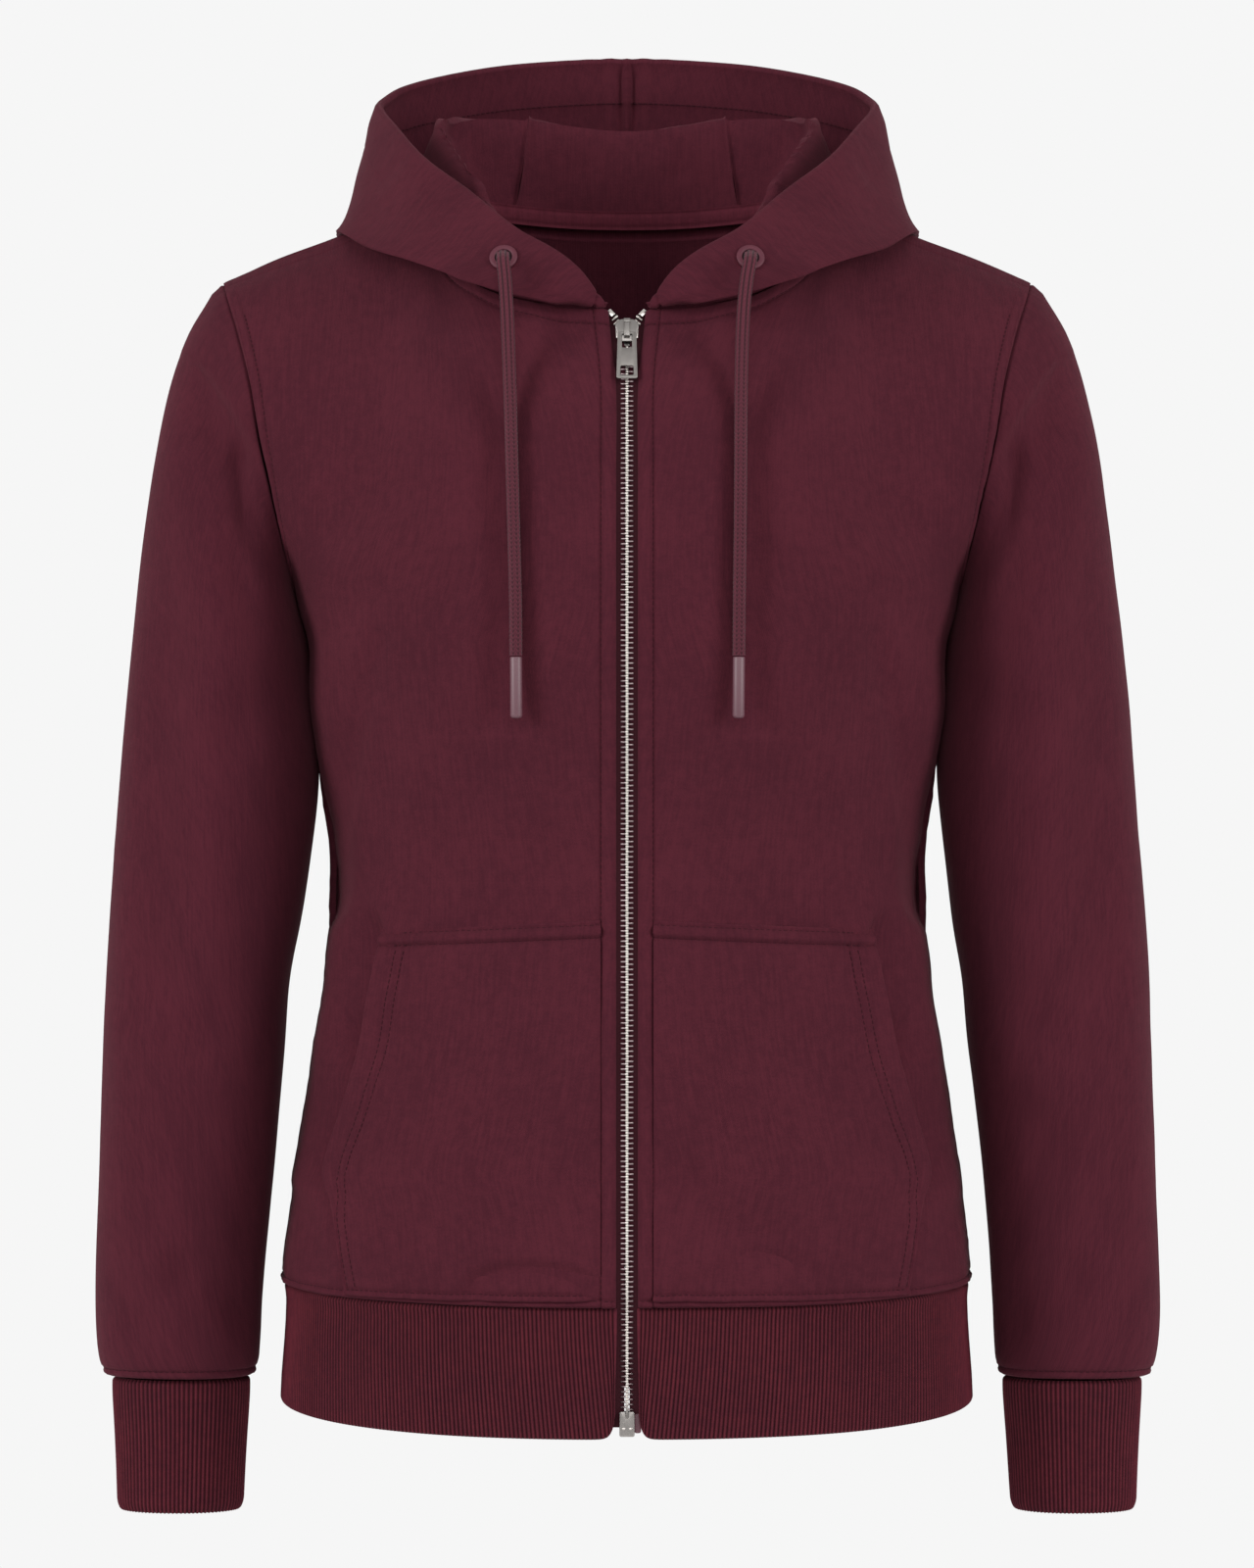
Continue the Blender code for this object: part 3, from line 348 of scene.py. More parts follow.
def hood_grid(ends, shares, columns):
    """Rows of points up the hood's cloth, neck to rim. ends gives a row's start and end, in stations."""
    lines = hood_lines()
    dense = np.linspace(0, lines.shape[1] - 1, 221)
    grid = []
    for share in shares:
        row = smooth(smooth(lines, np.array(share * (len(lines) - 1))), dense)
        turns = int(2 * (RIM_SOFTNESS * share / np.linalg.norm(np.diff(row, axis=0), axis=-1).mean()) ** 2)
        for _ in range(turns):
            row[1:-1] = row[1:-1] / 2 + (row[:-2] + row[2:]) / 4
        grid.append(smooth(row, np.linspace(*ends(share), columns + 1) / dense[1]))
    return np.array(grid)


def side_ends(share):
    """A side panel runs to the centre panel, and above its tip to the other side panel."""
    return 0, LAST_STATION if share > TAPER_END else hood_seam(share)


def centre_ends(share):
    return hood_seam(share), LAST_STATION


def turn_ring(turns, places, angles):
    """A sleeve's or cuff's sections: outermost point first, then round by the front."""
    row = smooth([tuple(turn) for turn in turns], places)[:, None, :]
    cosine, sine = np.cos(angles)[None, :], np.sin(angles)[None, :]
    out = np.sign(cosine) * np.abs(cosine) ** (2 / SLEEVE_POWER)
    ahead = np.sign(sine) * np.abs(sine) ** (2 / SLEEVE_POWER)
    x = (row[..., 0] + row[..., 2]) / 2 + (row[..., 0] - row[..., 2]) / 2 * out
    z = (row[..., 1] + row[..., 3]) / 2 + (row[..., 1] - row[..., 3]) / 2 * out
    y = row[..., 5] - row[..., 4] * ahead
    return np.stack([x, y, z], axis=-1)


def armhole_ring(count):
    """The body's armhole, from the shoulder's tip down the front and up the back."""
    half = count // 2
    rises = (1 - np.cos(np.pi * np.arange(half + 1) / half)) / 2
    return np.concatenate([on_line(ARMHOLE_FRONT, rises[:0:-1]), on_line(ARMHOLE_BACK, rises[:-1])])


def sleeve_grid(count, rows):
    """The sleeve's sections from the armhole down. The first few keep something of the armhole's shape."""
    armhole = armhole_ring(count)
    angles = np.linspace(0, 2 * np.pi, count, endpoint=False)
    places = np.linspace(-1, len(SLEEVE) - 1, rows + 1)
    rings = turn_ring(SLEEVE, np.maximum(places, 0), angles)
    hold = np.clip(1 - (places + 1) / ARMHOLE_HOLD, 0, 1)[:, None, None]
    share = (1 + np.cos(angles))[None, :, None] / 2
    half = count // 2
    shift = (rings[:, :1] - armhole[0]) * share + (rings[:, half : half + 1] - armhole[half]) * (1 - share)
    away = np.clip(places + 1, 0, 1)[:, None, None]
    return rings * (1 - hold) + (armhole[None] + shift * away) * hold


def hem_grid(places, drops):
    """The hem band at +X: place 0 is by the zip and 1 the middle of the back."""
    back = places > 0.5
    part = np.where(back, 2 - 2 * places, 2 * places)
    top = hem_height(part, *HEM_SEAM)
    edge = hem_height(part, *HEM_EDGE) + BAND_THICK / 2
    beside = ring_point(part, edge, False, FRONT_EDGE)[..., 0] - FRONT_EDGE
    edge = edge + np.where(back, 0, HEM_CORNER_RISE * np.exp(-beside / HEM_CORNER_REACH))
    z = top[None] + (edge - top)[None] * np.asarray(drops)[:, None]
    part = np.broadcast_to(part, z.shape)
    front = ring_point(part, z, False, FRONT_EDGE)
    return np.where(back[None, :, None], ring_point(part, z, True), front)


def pocket_grid(rows, columns):
    heights = [row.z for row in POCKET_EDGE]
    place = np.linspace(0, 1, rows + 1)
    z_edge = heights[0] + (heights[-1] - heights[0]) * place
    outer_x = smooth([(row.x, row.z, 0) for row in POCKET_EDGE], place_of(heights, z_edge))[:, 0]
    share = np.linspace(0, 1, columns + 1)[None, :]
    x = POCKET_INNER_X + (outer_x[:, None] - POCKET_INNER_X) * share
    z = z_edge[:, None] + POCKET_TOP_RISE * (1 - share) * place[:, None]
    half_width = smooth(
        [(r.half_width, r.front, r.back) for r in TORSO], place_of([r.z for r in TORSO], z)
    )[..., 0]
    across = (x - FRONT_EDGE) / (half_width - FRONT_EDGE)
    round_share = np.arcsin(across ** (BODY_POWER / 2)) * 2 / np.pi
    return ring_point(round_share, z, False, FRONT_EDGE)


def spaced(grid, count, ringed=False):
    """The grid with this many columns along each row, all the same distance apart, for ribs."""
    if ringed:
        grid = np.concatenate([grid, grid[:, :1]], axis=1)
    rows = []
    for line, run in zip(grid, steps(grid, 1)):
        targets = np.linspace(0, run[-1], count + 1)[: count if ringed else None]
        rows.append(smooth(line, np.interp(targets, run, np.arange(len(run)))))
    return np.array(rows)


def cuff_grid(count, rows):
    """The cuff's sections from the sleeve's end down, with the same start as a sleeve's sections."""
    angles = np.linspace(0, 2 * np.pi, 241)[:-1]
    return spaced(turn_ring(CUFF, np.linspace(0, len(CUFF) - 1, rows + 1), angles), count, True)


def zip_profile():
    """The middle of the front from the hem's edge up: heights, depths and the ways out of the cloth."""
    low = np.linspace(HEM_EDGE[1], ARMPIT_Z, 160)
    line = np.concatenate(
        [ring_point(np.zeros_like(low), low)[:-1], on_line(ZIP_LINE, np.linspace(0, 1, 80))]
    )
    heights, depths = line[:, 2], line[:, 1]
    ways = unit(np.stack([0 * heights, -np.gradient(heights), np.gradient(depths)], axis=-1))
    return heights, depths, ways


def zip_spots(z, depth):
    """Points on the zip's line at these heights, this deep behind the cloth's face, and the ways out."""
    heights, depths, ways = zip_profile()
    z = np.asarray(z, float)
    ways = unit(np.stack([np.interp(z, heights, ways[:, axis]) for axis in range(3)], axis=-1))
    points = np.stack([0 * z, np.interp(z, heights, depths), z], axis=-1)
    return points - ways * np.asarray(depth)[..., None], ways


def mirrored(grid):
    return grid * (-1, 1, 1)


def unit(vectors):
    return vectors / np.maximum(np.linalg.norm(vectors, axis=-1, keepdims=True), NEARLY_ZERO)


def normals(grid, ringed=False):
    """The direction out of the cloth, columns crossed with rows."""
    if ringed:
        across = np.roll(grid, -1, axis=1) - np.roll(grid, 1, axis=1)
    else:
        across = np.gradient(grid, axis=1)
    return unit(np.cross(across, np.gradient(grid, axis=0)))


def steps(grid, axis):
    """The running length along a grid's rows (axis 1) or columns (axis 0), from its first line."""
    lengths = np.linalg.norm(np.diff(grid, axis=axis), axis=-1)
    run = np.cumsum(lengths, axis=axis)
    return np.concatenate([np.zeros_like(run.take([0], axis=axis)), run], axis=axis)


# ---------------------------------------------------------------- creases
# Soft troughs between two points of a panel, bowed to one side. side is -1 left, 1 right, 0 both. lean is how
# much wider the trough is on its left, from its start to its end, than on its right.
Crease = namedtuple("Crease", "panel side x z end_x end_z half_width depth bow lean", defaults=(0.0,))
CREASES = [
    # the folds that the solids have too
    Crease("front", 0, 128, -268, 147, -362, 20, 3.4, 0),
    Crease("back", 0, 40, -300, 132, -272, 24, 3.6, 0),
    Crease("back", 0, 52, -352, 128, -336, 22, 3.0, 0),
    Crease("sleeve_front", 0, 224, -104, 190, -196, 20, 3.4, 0),
    Crease("sleeve_front", 0, 262, -404, 222, -424, 20, 3.2, 0),
    Crease("sleeve_back", 0, 184, -330, 250, -306, 24, 4.0, 0),
    Crease("sleeve_back", 0, 186, -404, 254, -388, 22, 4.0, 0),
    Crease("sleeve_back", 0, 196, -560, 250, -540, 18, 2.6, 0),
    # finer ones
    Crease("front", 0, 63, -62, 58, -272, 10, 2.0, 0),
    Crease("front", 0, 126, -236, 152, -372, 7, 2.6, 6),
    Crease("front", 0, 127.5, -386, 136.5, -440, 8, 6.5, 2, 0.4),
    Crease("front", 0, 136.5, -440, 153, -500, 8, 6.0, 2, 0.4),
    Crease("front", -1, 146, -250, 158, -330, 8, 1.4, -5),
    Crease("front", 1, 148, -262, 159, -322, 8, 1.2, -5),
    Crease("sleeve_front", 0, 226, -94, 184, -160, 12, 6.5, -3, 0.6),
    Crease("sleeve_front", 0, 236, -110, 200, -190, 20, 2.6, -4),
    Crease("sleeve_front", 0, 196, -140, 176, -196, 8, 2.4, 3),
    Crease("sleeve_front", 0, 262, -150, 268, -330, 6, 1.5, -3),
    Crease("sleeve_front", 0, 232, -170, 240, -400, 17, 4.0, 4),
    Crease("sleeve_front", -1, 268, -350, 271, -480, 6, 1.2, 3),
    Crease("sleeve_front", 1, 266, -360, 272, -500, 6, 1.2, 3),
    Crease("front", -1, 158, -560, 169, -520, 5, 1.0, 3),
    Crease("front", 1, 160, -560, 168, -527, 5, 0.9, 3),
    Crease("front", -1, 120, -160, 176, -196, 13, 1.6, 5),
    Crease("front", 1, 126, -168, 175, -199, 12, 1.5, 4),
    Crease("front", -1, 92, -205, 158, -236, 16, 1.2, 6),
    Crease("front", 1, 96, -214, 156, -240, 15, 1.1, 6),
    Crease("front", -1, 60, -86, 96, -44, 10, 1.2, -4),
    Crease("front", 1, 62, -88, 94, -46, 9, 1.1, -4),
    Crease("front", -1, 26, -82, 52, -92, 7, 1.2, 3),
    Crease("front", 1, 24, -84, 54, -90, 7, 1.0, 3),
    Crease("back", -1, 30, -500, 120, -478, 20, 2.2, 8),
    Crease("back", 1, 22, -470, 112, -452, 18, 2.0, 8),
    Crease("back", -1, 96, -150, 170, -205, 15, 2.2, 6),
    Crease("back", 1, 92, -158, 170, -208, 15, 2.2, 6),
    Crease("back", -1, 4, -262, 66, -246, 16, 1.6, -5),
    Crease("sleeve_front", -1, 266, -414, 250, -428, 6, 1.6, 3),
    Crease("sleeve_front", 1, 268, -432, 238, -448, 9, 1.8, 3),
    Crease("sleeve_front", 1, 190, -470, 214, -492, 12, 1.6, 3),
    Crease("sleeve_front", -1, 196, -578, 224, -556, 11, 2.2, 4),
    Crease("sleeve_front", 1, 194, -584, 226, -560, 11, 2.0, 4),
    Crease("sleeve_front", -1, 250, -586, 232, -560, 10, 1.0, -3),
    Crease("sleeve_front", 0, 178, -262, 204, -284, 13, 1.6, 3),
    Crease("sleeve_front", -1, 206, -140, 190, -222, 12, 1.8, 5),
    Crease("sleeve_front", 1, 208, -146, 192, -226, 12, 1.7, 5),
    Crease("sleeve_back", -1, 190, -446, 246, -436, 14, 2.2, 6),
    Crease("sleeve_back", 1, 200, -358, 262, -344, 15, 2.4, 6),
    Crease("sleeve_back", 0, 222, -110, 192, -192, 16, 2.6, 5),
    Crease("pocket", -1, 14, -559, 74, -555, 7, 2.4, 7, -0.4),
    Crease("pocket", -1, 24, -560, 66, -559, 5, -1.4, 3),
    Crease("pocket", 1, 30, -558, 86, -549, 9, 1.5, 4, -0.3),
    Crease("pocket", 1, 20, -500, 64, -552, 14, 1.4, 5),
    Crease("pocket", -1, 60, -412, 112, -440, 14, 1.4, 5),
    Crease("pocket", 1, 44, -420, 104, -452, 16, 1.5, 6),
    Crease("pocket", 1, 30, -516, 74, -540, 14, 1.6, -5),
    # on the hood, by the distance along its rows from the zip and up its cloth from the neck; a depth
    # less than 0 is outward
    Crease("hood", 0, 204, 41, 238, 14, 6, -3.2, 3),
    Crease("hood", 0, 218, 46, 214, 38, 4, -1.8, 0),
    Crease("hood", 0, 196, 42, 222, 12, 5, -3.4, 3),
    Crease("hood", 0, 120, 56, 192, 50, 7, 1.8, 0),
    Crease("hood", 0, 412, 456, 413, 426, 3.0, -1.6, 0),
    Crease("hood", 0, 402, 452, 405, 418, 3.0, -1.4, 2),
    Crease("hood", -1, 299, 316, 288, 286, 3.0, -1.2, 0),
    Crease("hood", -1, 314, 332, 304, 300, 3.0, -1.0, 0),
    Crease("hood", 1, 302, 318, 290, 288, 3.0, -1.1, 0),
    Crease("hood", -1, 224, 220, 160, 194, 7, 1.6, 6),
    Crease("hood", 1, 228, 222, 166, 196, 8, 1.5, 6),
    Crease("hood", 0, 34, 22, 17, 10, 3.0, 1.6, 0),
    Crease("hood", -1, 96, 96, 150, 130, 12, 1.6, 5),
    Crease("hood", 1, 104, 104, 150, 128, 12, 1.4, 5),
    Crease("hood", -1, 300, 200, 380, 216, 16, 2.2, 6),
    Crease("hood", 1, 290, 206, 360, 232, 16, 2.0, 6),
    Crease("hood_centre", 1, 23, 42, 28, 26, 5, -1.3, 2),
    Crease("hood_centre", 1, 30, 24, 60, 14, 10, -1.2, 0),
    Crease("hood_centre", -1, 26, 28, 60, 18, 10, -1.2, 3),
]
CURVE_STEPS = 12


def crease_depth(panel, side, across, up):
    """How deep a panel's creases are at each point, from the point's two coordinates in the panel."""
    depth = np.zeros_like(across)
    for crease in CREASES:
        if crease.panel != panel or crease.side == -side:
            continue
        start, end = np.array((crease.x, crease.z)), np.array((crease.end_x, crease.end_z))
        run = end - start
        bulge = np.array((-run[1], run[0])) / np.linalg.norm(run) * crease.bow
        share = np.linspace(0, 1, CURVE_STEPS)[:, None]
        line = start + run * share + bulge * 4 * share * (1 - share)
        away, left = np.full_like(across, np.inf), np.zeros_like(across)
        for a, b in zip(line[:-1], line[1:]):
            reach = np.stack([across, up], axis=-1) - a
            along = np.clip(reach @ (b - a) / ((b - a) @ (b - a)), 0, 1)
            far = np.linalg.norm(reach - along[..., None] * (b - a), axis=-1)
            turned = ((b - a)[0] * reach[..., 1] - (b - a)[1] * reach[..., 0]) / np.linalg.norm(b - a)
            left = np.where(far < away, turned, left)
            away = np.minimum(away, far)
        ratio = away / (crease.half_width * (1 + crease.lean * np.tanh(left / 2)))
        depth += crease.depth * (np.exp(-(ratio**2)) - 0.22 * np.exp(-((ratio - 1.7) ** 2) * 2.5))
    return depth


# Slow waves that no cloth is without, as sums of a few seeded sines.
WAVE_LENGTHS = (150.0, 96.0, 61.0, 44.0)  # mm
WAVE_HEIGHTS = (0.8, 0.55, 0.32, 0.18)  # mm


def waves(grid):
    height = np.zeros(grid.shape[:2])
    for length, size in zip(WAVE_LENGTHS, WAVE_HEIGHTS):
        for _ in range(3):
            way = unit(rng.normal(size=3) * (1, 1, 0.7))
            height += size / 1.7 * np.sin(grid @ way * 2 * np.pi / length + rng.uniform(0, 2 * np.pi))
    return height


# ---------------------------------------------------------------- seams
SEAM_SPREAD = 1.1
STITCH_SINK = 1.1
STITCH_SPREAD = 0.95
LIP_INSET = 2.2
PUCKER_HEIGHT = 0.32
PUCKER_LENGTH = 7.5  # from one pucker to the next
PUCKER_SCALES = (1, 1.63, 0.71)  # its sines' lengths, as shares of it
PUCKER_REACH = 7.0  # how far puckers run into the cloth
EDGE_OFFSETS = (0.0, 0.45, 0.9, 1.5, 2.2, 3.0, 4.6, 6.2, 8.4, 11.2)
STITCH_OFFSETS = (-1.2, -0.6, 0.0, 0.6, 1.2)

# where it is topstitched, how deep its groove is, how much it puckers, how far its turnings lift the cloth,
# where it fades out, how deep the fine groove beside it is, and how deep its stitches pull
Seam = namedtuple("Seam", "stitches sink pucker rise fade lip pull", defaults=(0.6, None, 0.0, 1.0))
NECK_REACH = 106.0  # a neck seam's topstitch stops where the shoulder seam starts
PLAIN_EDGE = Seam((), 0.0, 0.0)


def offsets_of(seam):
    """The distances from an edge where the cloth needs a line of points."""
    wanted = set(EDGE_OFFSETS)
    for inset in seam.stitches:
        wanted = {value for value in wanted if abs(value - inset) > 1.5 or value == 0}
        wanted |= {round(inset + step, 3) for step in STITCH_OFFSETS}
    return sorted(wanted)


def respaced(grid, axis, first, last, pitch):
    """The grid with its lines along this axis laid at fixed distances from the two seams, evenly between."""
    lines = grid if axis == 1 else grid.transpose(1, 0, 2)
    start, end = np.array(offsets_of(first)), np.array(offsets_of(last))[::-1]
    lengths = steps(lines, 1)
    total = lengths[:, -1]
    middle = max(int((total.mean() - start[-1] - end[0]) / pitch), 4)
    result = []
    for line, run, length in zip(lines, lengths, total):
        fit = min(1.0, length * 0.45 / start[-1], length * 0.45 / end[0])
        inner = np.linspace(start[-1] * fit, length - end[0] * fit, middle + 1)[1:-1]
        targets = np.concatenate([start * fit, inner, length - end * fit])
        result.append(smooth(line, np.interp(targets, run, np.arange(len(run)))))
    result = np.array(result)
    return result if axis == 1 else result.transpose(1, 0, 2)


def seam_relief(distance, run, seam):
    """The height of the cloth near a seam, from each point's distance to it and its place along it."""
    height = -seam.sink * np.exp(-((distance / SEAM_SPREAD) ** 2))
    for inset in seam.stitches:
        height -= seam.pull * STITCH_SINK * np.exp(-(((distance - inset) / STITCH_SPREAD) ** 2))
    height -= seam.lip * np.exp(-(((distance - LIP_INSET) / 0.6) ** 2))
    if seam.stitches:
        inset = seam.stitches[0]
        rise = np.clip(distance / 1.4, 0, 1) * np.clip((inset + 0.9 - distance) / 1.4, 0, 1)
        height += seam.rise * rise
    phase = rng.uniform(0, 2 * np.pi, 3)
    sines = zip(PUCKER_SCALES, phase)
    ripple = sum(np.sin(run * 2 * np.pi / (PUCKER_LENGTH * scale) + start) for scale, start in sines) / 2
    near = np.exp(-distance / PUCKER_REACH) * np.clip(distance / 1.5, 0, 1)
    return height + seam.pucker * PUCKER_HEIGHT * ripple * near


SHOULDER_TIP_Z = -46.4


def faded(seam, points):
    """How much of a seam's relief shows: neck seams end at the shoulder, and armholes ease at the top."""
    if seam.fade == "neck":
        return np.clip((NECK_REACH - np.abs(points[..., 0])) / 8, 0.15, 1)
    if seam.fade == "armhole":
        return np.clip((SHOULDER_TIP_Z - 2 - points[..., 2]) / 20, 0.1, 1)
    return 1


RIB_PITCH = 2.1
RIB_RELIEF = 0.7  # from the bottom of the rib's grooves to the top of its ribs


class Panel:
    """One piece of cloth: its points, the ways out of it and the lines where it is stitched."""

    def __init__(self, grid, seams, pitch, ringed=False, rib_columns=0):
        # seams: left, right, bottom, top, as the first and last columns, then the first and last rows
        left, right, bottom, top = seams
        if not ringed and not rib_columns:
            grid = respaced(grid, 1, left, right, pitch)
        grid = respaced(grid, 0, bottom, top, pitch)
        across, up = steps(grid, 1), steps(grid, 0)
        ways = normals(grid, ringed)
        height = np.zeros(grid.shape[:2])
        if not ringed:
            height += seam_relief(across, up, left) * faded(left, grid)
            height += seam_relief(across[:, -1:] - across, up, right) * faded(right, grid)
        height += seam_relief(up, across, bottom)
        height += seam_relief(up[-1:] - up, across, top) * faded(top, grid)
        if rib_columns:
            ridge = 0.5 + 0.5 * np.cos(np.arange(grid.shape[1]) * 2 * np.pi / rib_columns)
            height += RIB_RELIEF * ridge[None]
            across = across * 0 + (np.arange(grid.shape[1]) / rib_columns * RIB_PITCH)[None]
        self.ringed = ringed
        self.ribbed = rib_columns > 0
        self.seams = seams
        self.grid = grid + ways * height[..., None]
        self.ways = ways
        self.across = across
        self.up = up

    def stitch_lines(self, edge):
        """The lines of points and ways along which an edge is topstitched: edges 0 to 3 as the seams are."""
        seam = self.seams[edge]
        offsets = offsets_of(seam)
        for inset in seam.stitches:
            index = offsets.index(round(inset, 3))
            index = -1 - index if edge in (1, 3) else index
            if edge < 2:
                yield self.grid[:, index], self.ways[:, index]
            else:
                yield self.grid[index], self.ways[index]

    def trace(self, rows, columns):
        """A line of points on the cloth and its ways, at any rows and columns between the grid's own."""
        low_r = np.clip(rows.astype(int), 0, len(self.grid) - 2)
        low_c = np.clip(columns.astype(int), 0, self.grid.shape[1] - 2)
        a, b = (rows - low_r)[:, None], (columns - low_c)[:, None]
        values = []
        for field in (self.grid, self.ways):
            lower = field[low_r, low_c] * (1 - b) + field[low_r, low_c + 1] * b
            upper = field[low_r + 1, low_c] * (1 - b) + field[low_r + 1, low_c + 1] * b
            values.append(lower * (1 - a) + upper * a)
        return values[0], unit(values[1])

    def line_beside(self, insets, rows):
        """The line on these rows of the cloth that lies so far inside its last column."""
        reach = self.across[:, -1:] - self.across
        columns = np.arange(reach.shape[1])[::-1]
        places = [np.interp(inset, reach[row][::-1], columns) for inset, row in zip(insets, rows)]
        return self.trace(np.asarray(rows, float), np.array(places))


# ---------------------------------------------------------------- making pieces
ROUND_STEPS = 4  # faces round a folded edge
SHARP_ANGLE = 60.0


def add_mesh(name, points, faces, finish, uvs=None, mirror=False, flip=True):
    """A piece from points in millimetres. uvs has a place in millimetres for each corner of each face."""
    points = np.asarray(points, float) * MM
    if mirror:
        points = points * (-1, 1, 1)
    mesh = bpy.data.meshes.new(name)
    mesh.from_pydata(points.tolist(), [], [tuple(int(i) for i in face) for face in faces])
    if uvs is not None:
        layer = mesh.uv_layers.new(name="UVMap")
        layer.data.foreach_set("uv", (np.concatenate([np.asarray(corner) for corner in uvs]) * MM).ravel())
    if flip:
        shape = bmesh.new()
        shape.from_mesh(mesh)
        bmesh.ops.recalc_face_normals(shape, faces=shape.faces)
        shape.to_mesh(mesh)
        shape.free()
    mesh.shade_smooth()
    mesh.set_sharp_from_angle(angle=math.radians(SHARP_ANGLE))
    piece = bpy.data.objects.new(name, mesh)
    mesh.materials.append(finish)
    bpy.context.scene.collection.objects.link(piece)
    return piece


def add_shell(name, panel, thick, finish, mirror=False, round_edges=()):
    """A panel's cloth as a closed wall. thick is a number or one for each point. Folded edges are rounded."""
    outer = panel.grid
    inner = outer - panel.ways * (np.zeros(outer.shape[:2]) + thick)[..., None]
    rows, columns = outer.shape[:2]
    points = [outer.reshape(-1, 3), inner.reshape(-1, 3)]
    ids = np.arange(rows * columns).reshape(rows, columns)
    across, up = panel.across, panel.up
    if panel.ringed:
        ids = np.concatenate([ids, ids[:, :1]], axis=1)
        gap = np.linalg.norm(outer[:, 0] - outer[:, -1], axis=-1, keepdims=True)
        across = np.concatenate([across, across[:, -1:] + gap], axis=1)
        up = np.concatenate([up, up[:, :1]], axis=1)
    middle = 0 if panel.ringed or panel.ribbed else (across[:, :1] + across[:, -1:]) / 2
    flat = np.stack([across - middle + 0 * up, up], axis=-1)
    faces, uvs = [], []

    def add_strip(low, high, low_uv, high_uv):
        faces.extend(np.stack([low[:-1], low[1:], high[1:], high[:-1]], axis=-1).tolist())
        uvs.extend(np.stack([low_uv[:-1], low_uv[1:], high_uv[1:], high_uv[:-1]], axis=1))

    size = rows * columns
    for row in range(rows - 1):
        add_strip(ids[row], ids[row + 1], flat[row], flat[row + 1])
        add_strip(ids[row + 1] + size, ids[row] + size, flat[row + 1], flat[row])
    total = 2 * size
    edges = {
        "bottom": (ids[0], outer[0] - outer[1], flat[0]),
        "top": (ids[-1], outer[-1] - outer[-2], flat[-1]),
    }
    if not panel.ringed:
        edges["left"] = (ids[:, 0], outer[:, 0] - outer[:, 1], flat[:, 0])
        edges["right"] = (ids[:, -1], outer[:, -1] - outer[:, -2], flat[:, -1])
    for edge, (line, beyond, line_uv) in edges.items():
        stack = [line]
        if edge in round_edges:
            whole = line[:-1] if panel.ringed else line
            above, below = outer.reshape(-1, 3)[whole], inner.reshape(-1, 3)[whole]
            half = (above - below) / 2
            bulge = unit(beyond) * np.linalg.norm(half, axis=-1, keepdims=True)
            for step in range(1, ROUND_STEPS):
                angle = math.pi * step / ROUND_STEPS
                points.append((above + below) / 2 + half * math.cos(angle) + bulge * math.sin(angle))
                new = total + np.arange(len(whole))
                stack.append(np.append(new, new[0]) if panel.ringed else new)
                total += len(whole)
        stack.append(line + size)
        for low, high in zip(stack[:-1], stack[1:]):
            add_strip(high, low, line_uv, line_uv)
        if edge in round_edges and not panel.ringed:
            for end in (0, -1):
                faces.append([level[end] for level in stack])
                uvs.append(np.repeat(line_uv[end][None], len(stack), axis=0))
    return add_mesh(name, np.concatenate(points), faces, finish, uvs, mirror)


STITCH_PITCH = 3.0
STITCH_LENGTH = 2.3
THREAD_RADIUS = 0.3
STITCH_SIDES = 5
STITCH_PROFILE = ((-0.5, 0.25), (-0.3, 0.95), (0.3, 0.95), (0.5, 0.25))  # place along it, share of its radius


def stitch_mesh(lines):
    """Short lengths of thread laid along lines of points on the cloth."""
    points, faces = [], []
    count = 0
    sides = np.arange(STITCH_SIDES) * 2 * math.pi / STITCH_SIDES
    for line, ways in lines:
        run = np.concatenate([[0], np.cumsum(np.linalg.norm(np.diff(line, axis=0), axis=-1))])
        middles = np.arange(STITCH_PITCH * 0.5, run[-1] - STITCH_PITCH * 0.5, STITCH_PITCH)
        if len(middles) == 0:
            continue
        place = np.interp(middles, run, np.arange(len(run)))
        centre = smooth(line, place)
        along = unit(smooth(line, place + 0.05) - smooth(line, place - 0.05))
        out = unit(smooth(ways, place))
        beside = np.cross(along, out)
        for where, share in STITCH_PROFILE:
            ring = centre + along * where * STITCH_LENGTH + out * (THREAD_RADIUS * (share * 0.75 - 0.35))
            for angle in sides:
                turn = out * math.cos(angle) * 0.8 + beside * math.sin(angle)
                points.append(ring + turn * THREAD_RADIUS * share)
        levels = len(STITCH_PROFILE)
        ids = count + np.arange(levels * STITCH_SIDES * len(middles))
        ids = ids.reshape(levels, STITCH_SIDES, len(middles))
        around = np.roll(ids, -1, axis=1)
        quads = np.stack([ids[:-1], around[:-1], around[1:], ids[1:]], axis=-1).reshape(-1, 4)
        faces += quads.tolist()
        for level in (0, levels - 1):
            faces += ids[level].T.tolist()
        count += ids.size
    return np.concatenate(points), faces


def dress(piece, slot, *nodes, body=BODY):
    """The piece rides on a body and stands for some solids, whose parts it hides. Its slot is not used."""
    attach(piece, body)
    if nodes:
        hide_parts(*nodes)
    return piece


# ---------------------------------------------------------------- finishes
def colour_of(text):
    """An sRGB hex colour as linear light."""
    values = [int(text[i : i + 2], 16) / 255 for i in (1, 3, 5)]
    return (*(v / 12.92 if v <= 0.04045 else ((v + 0.055) / 1.055) ** 2.4 for v in values), 1.0)


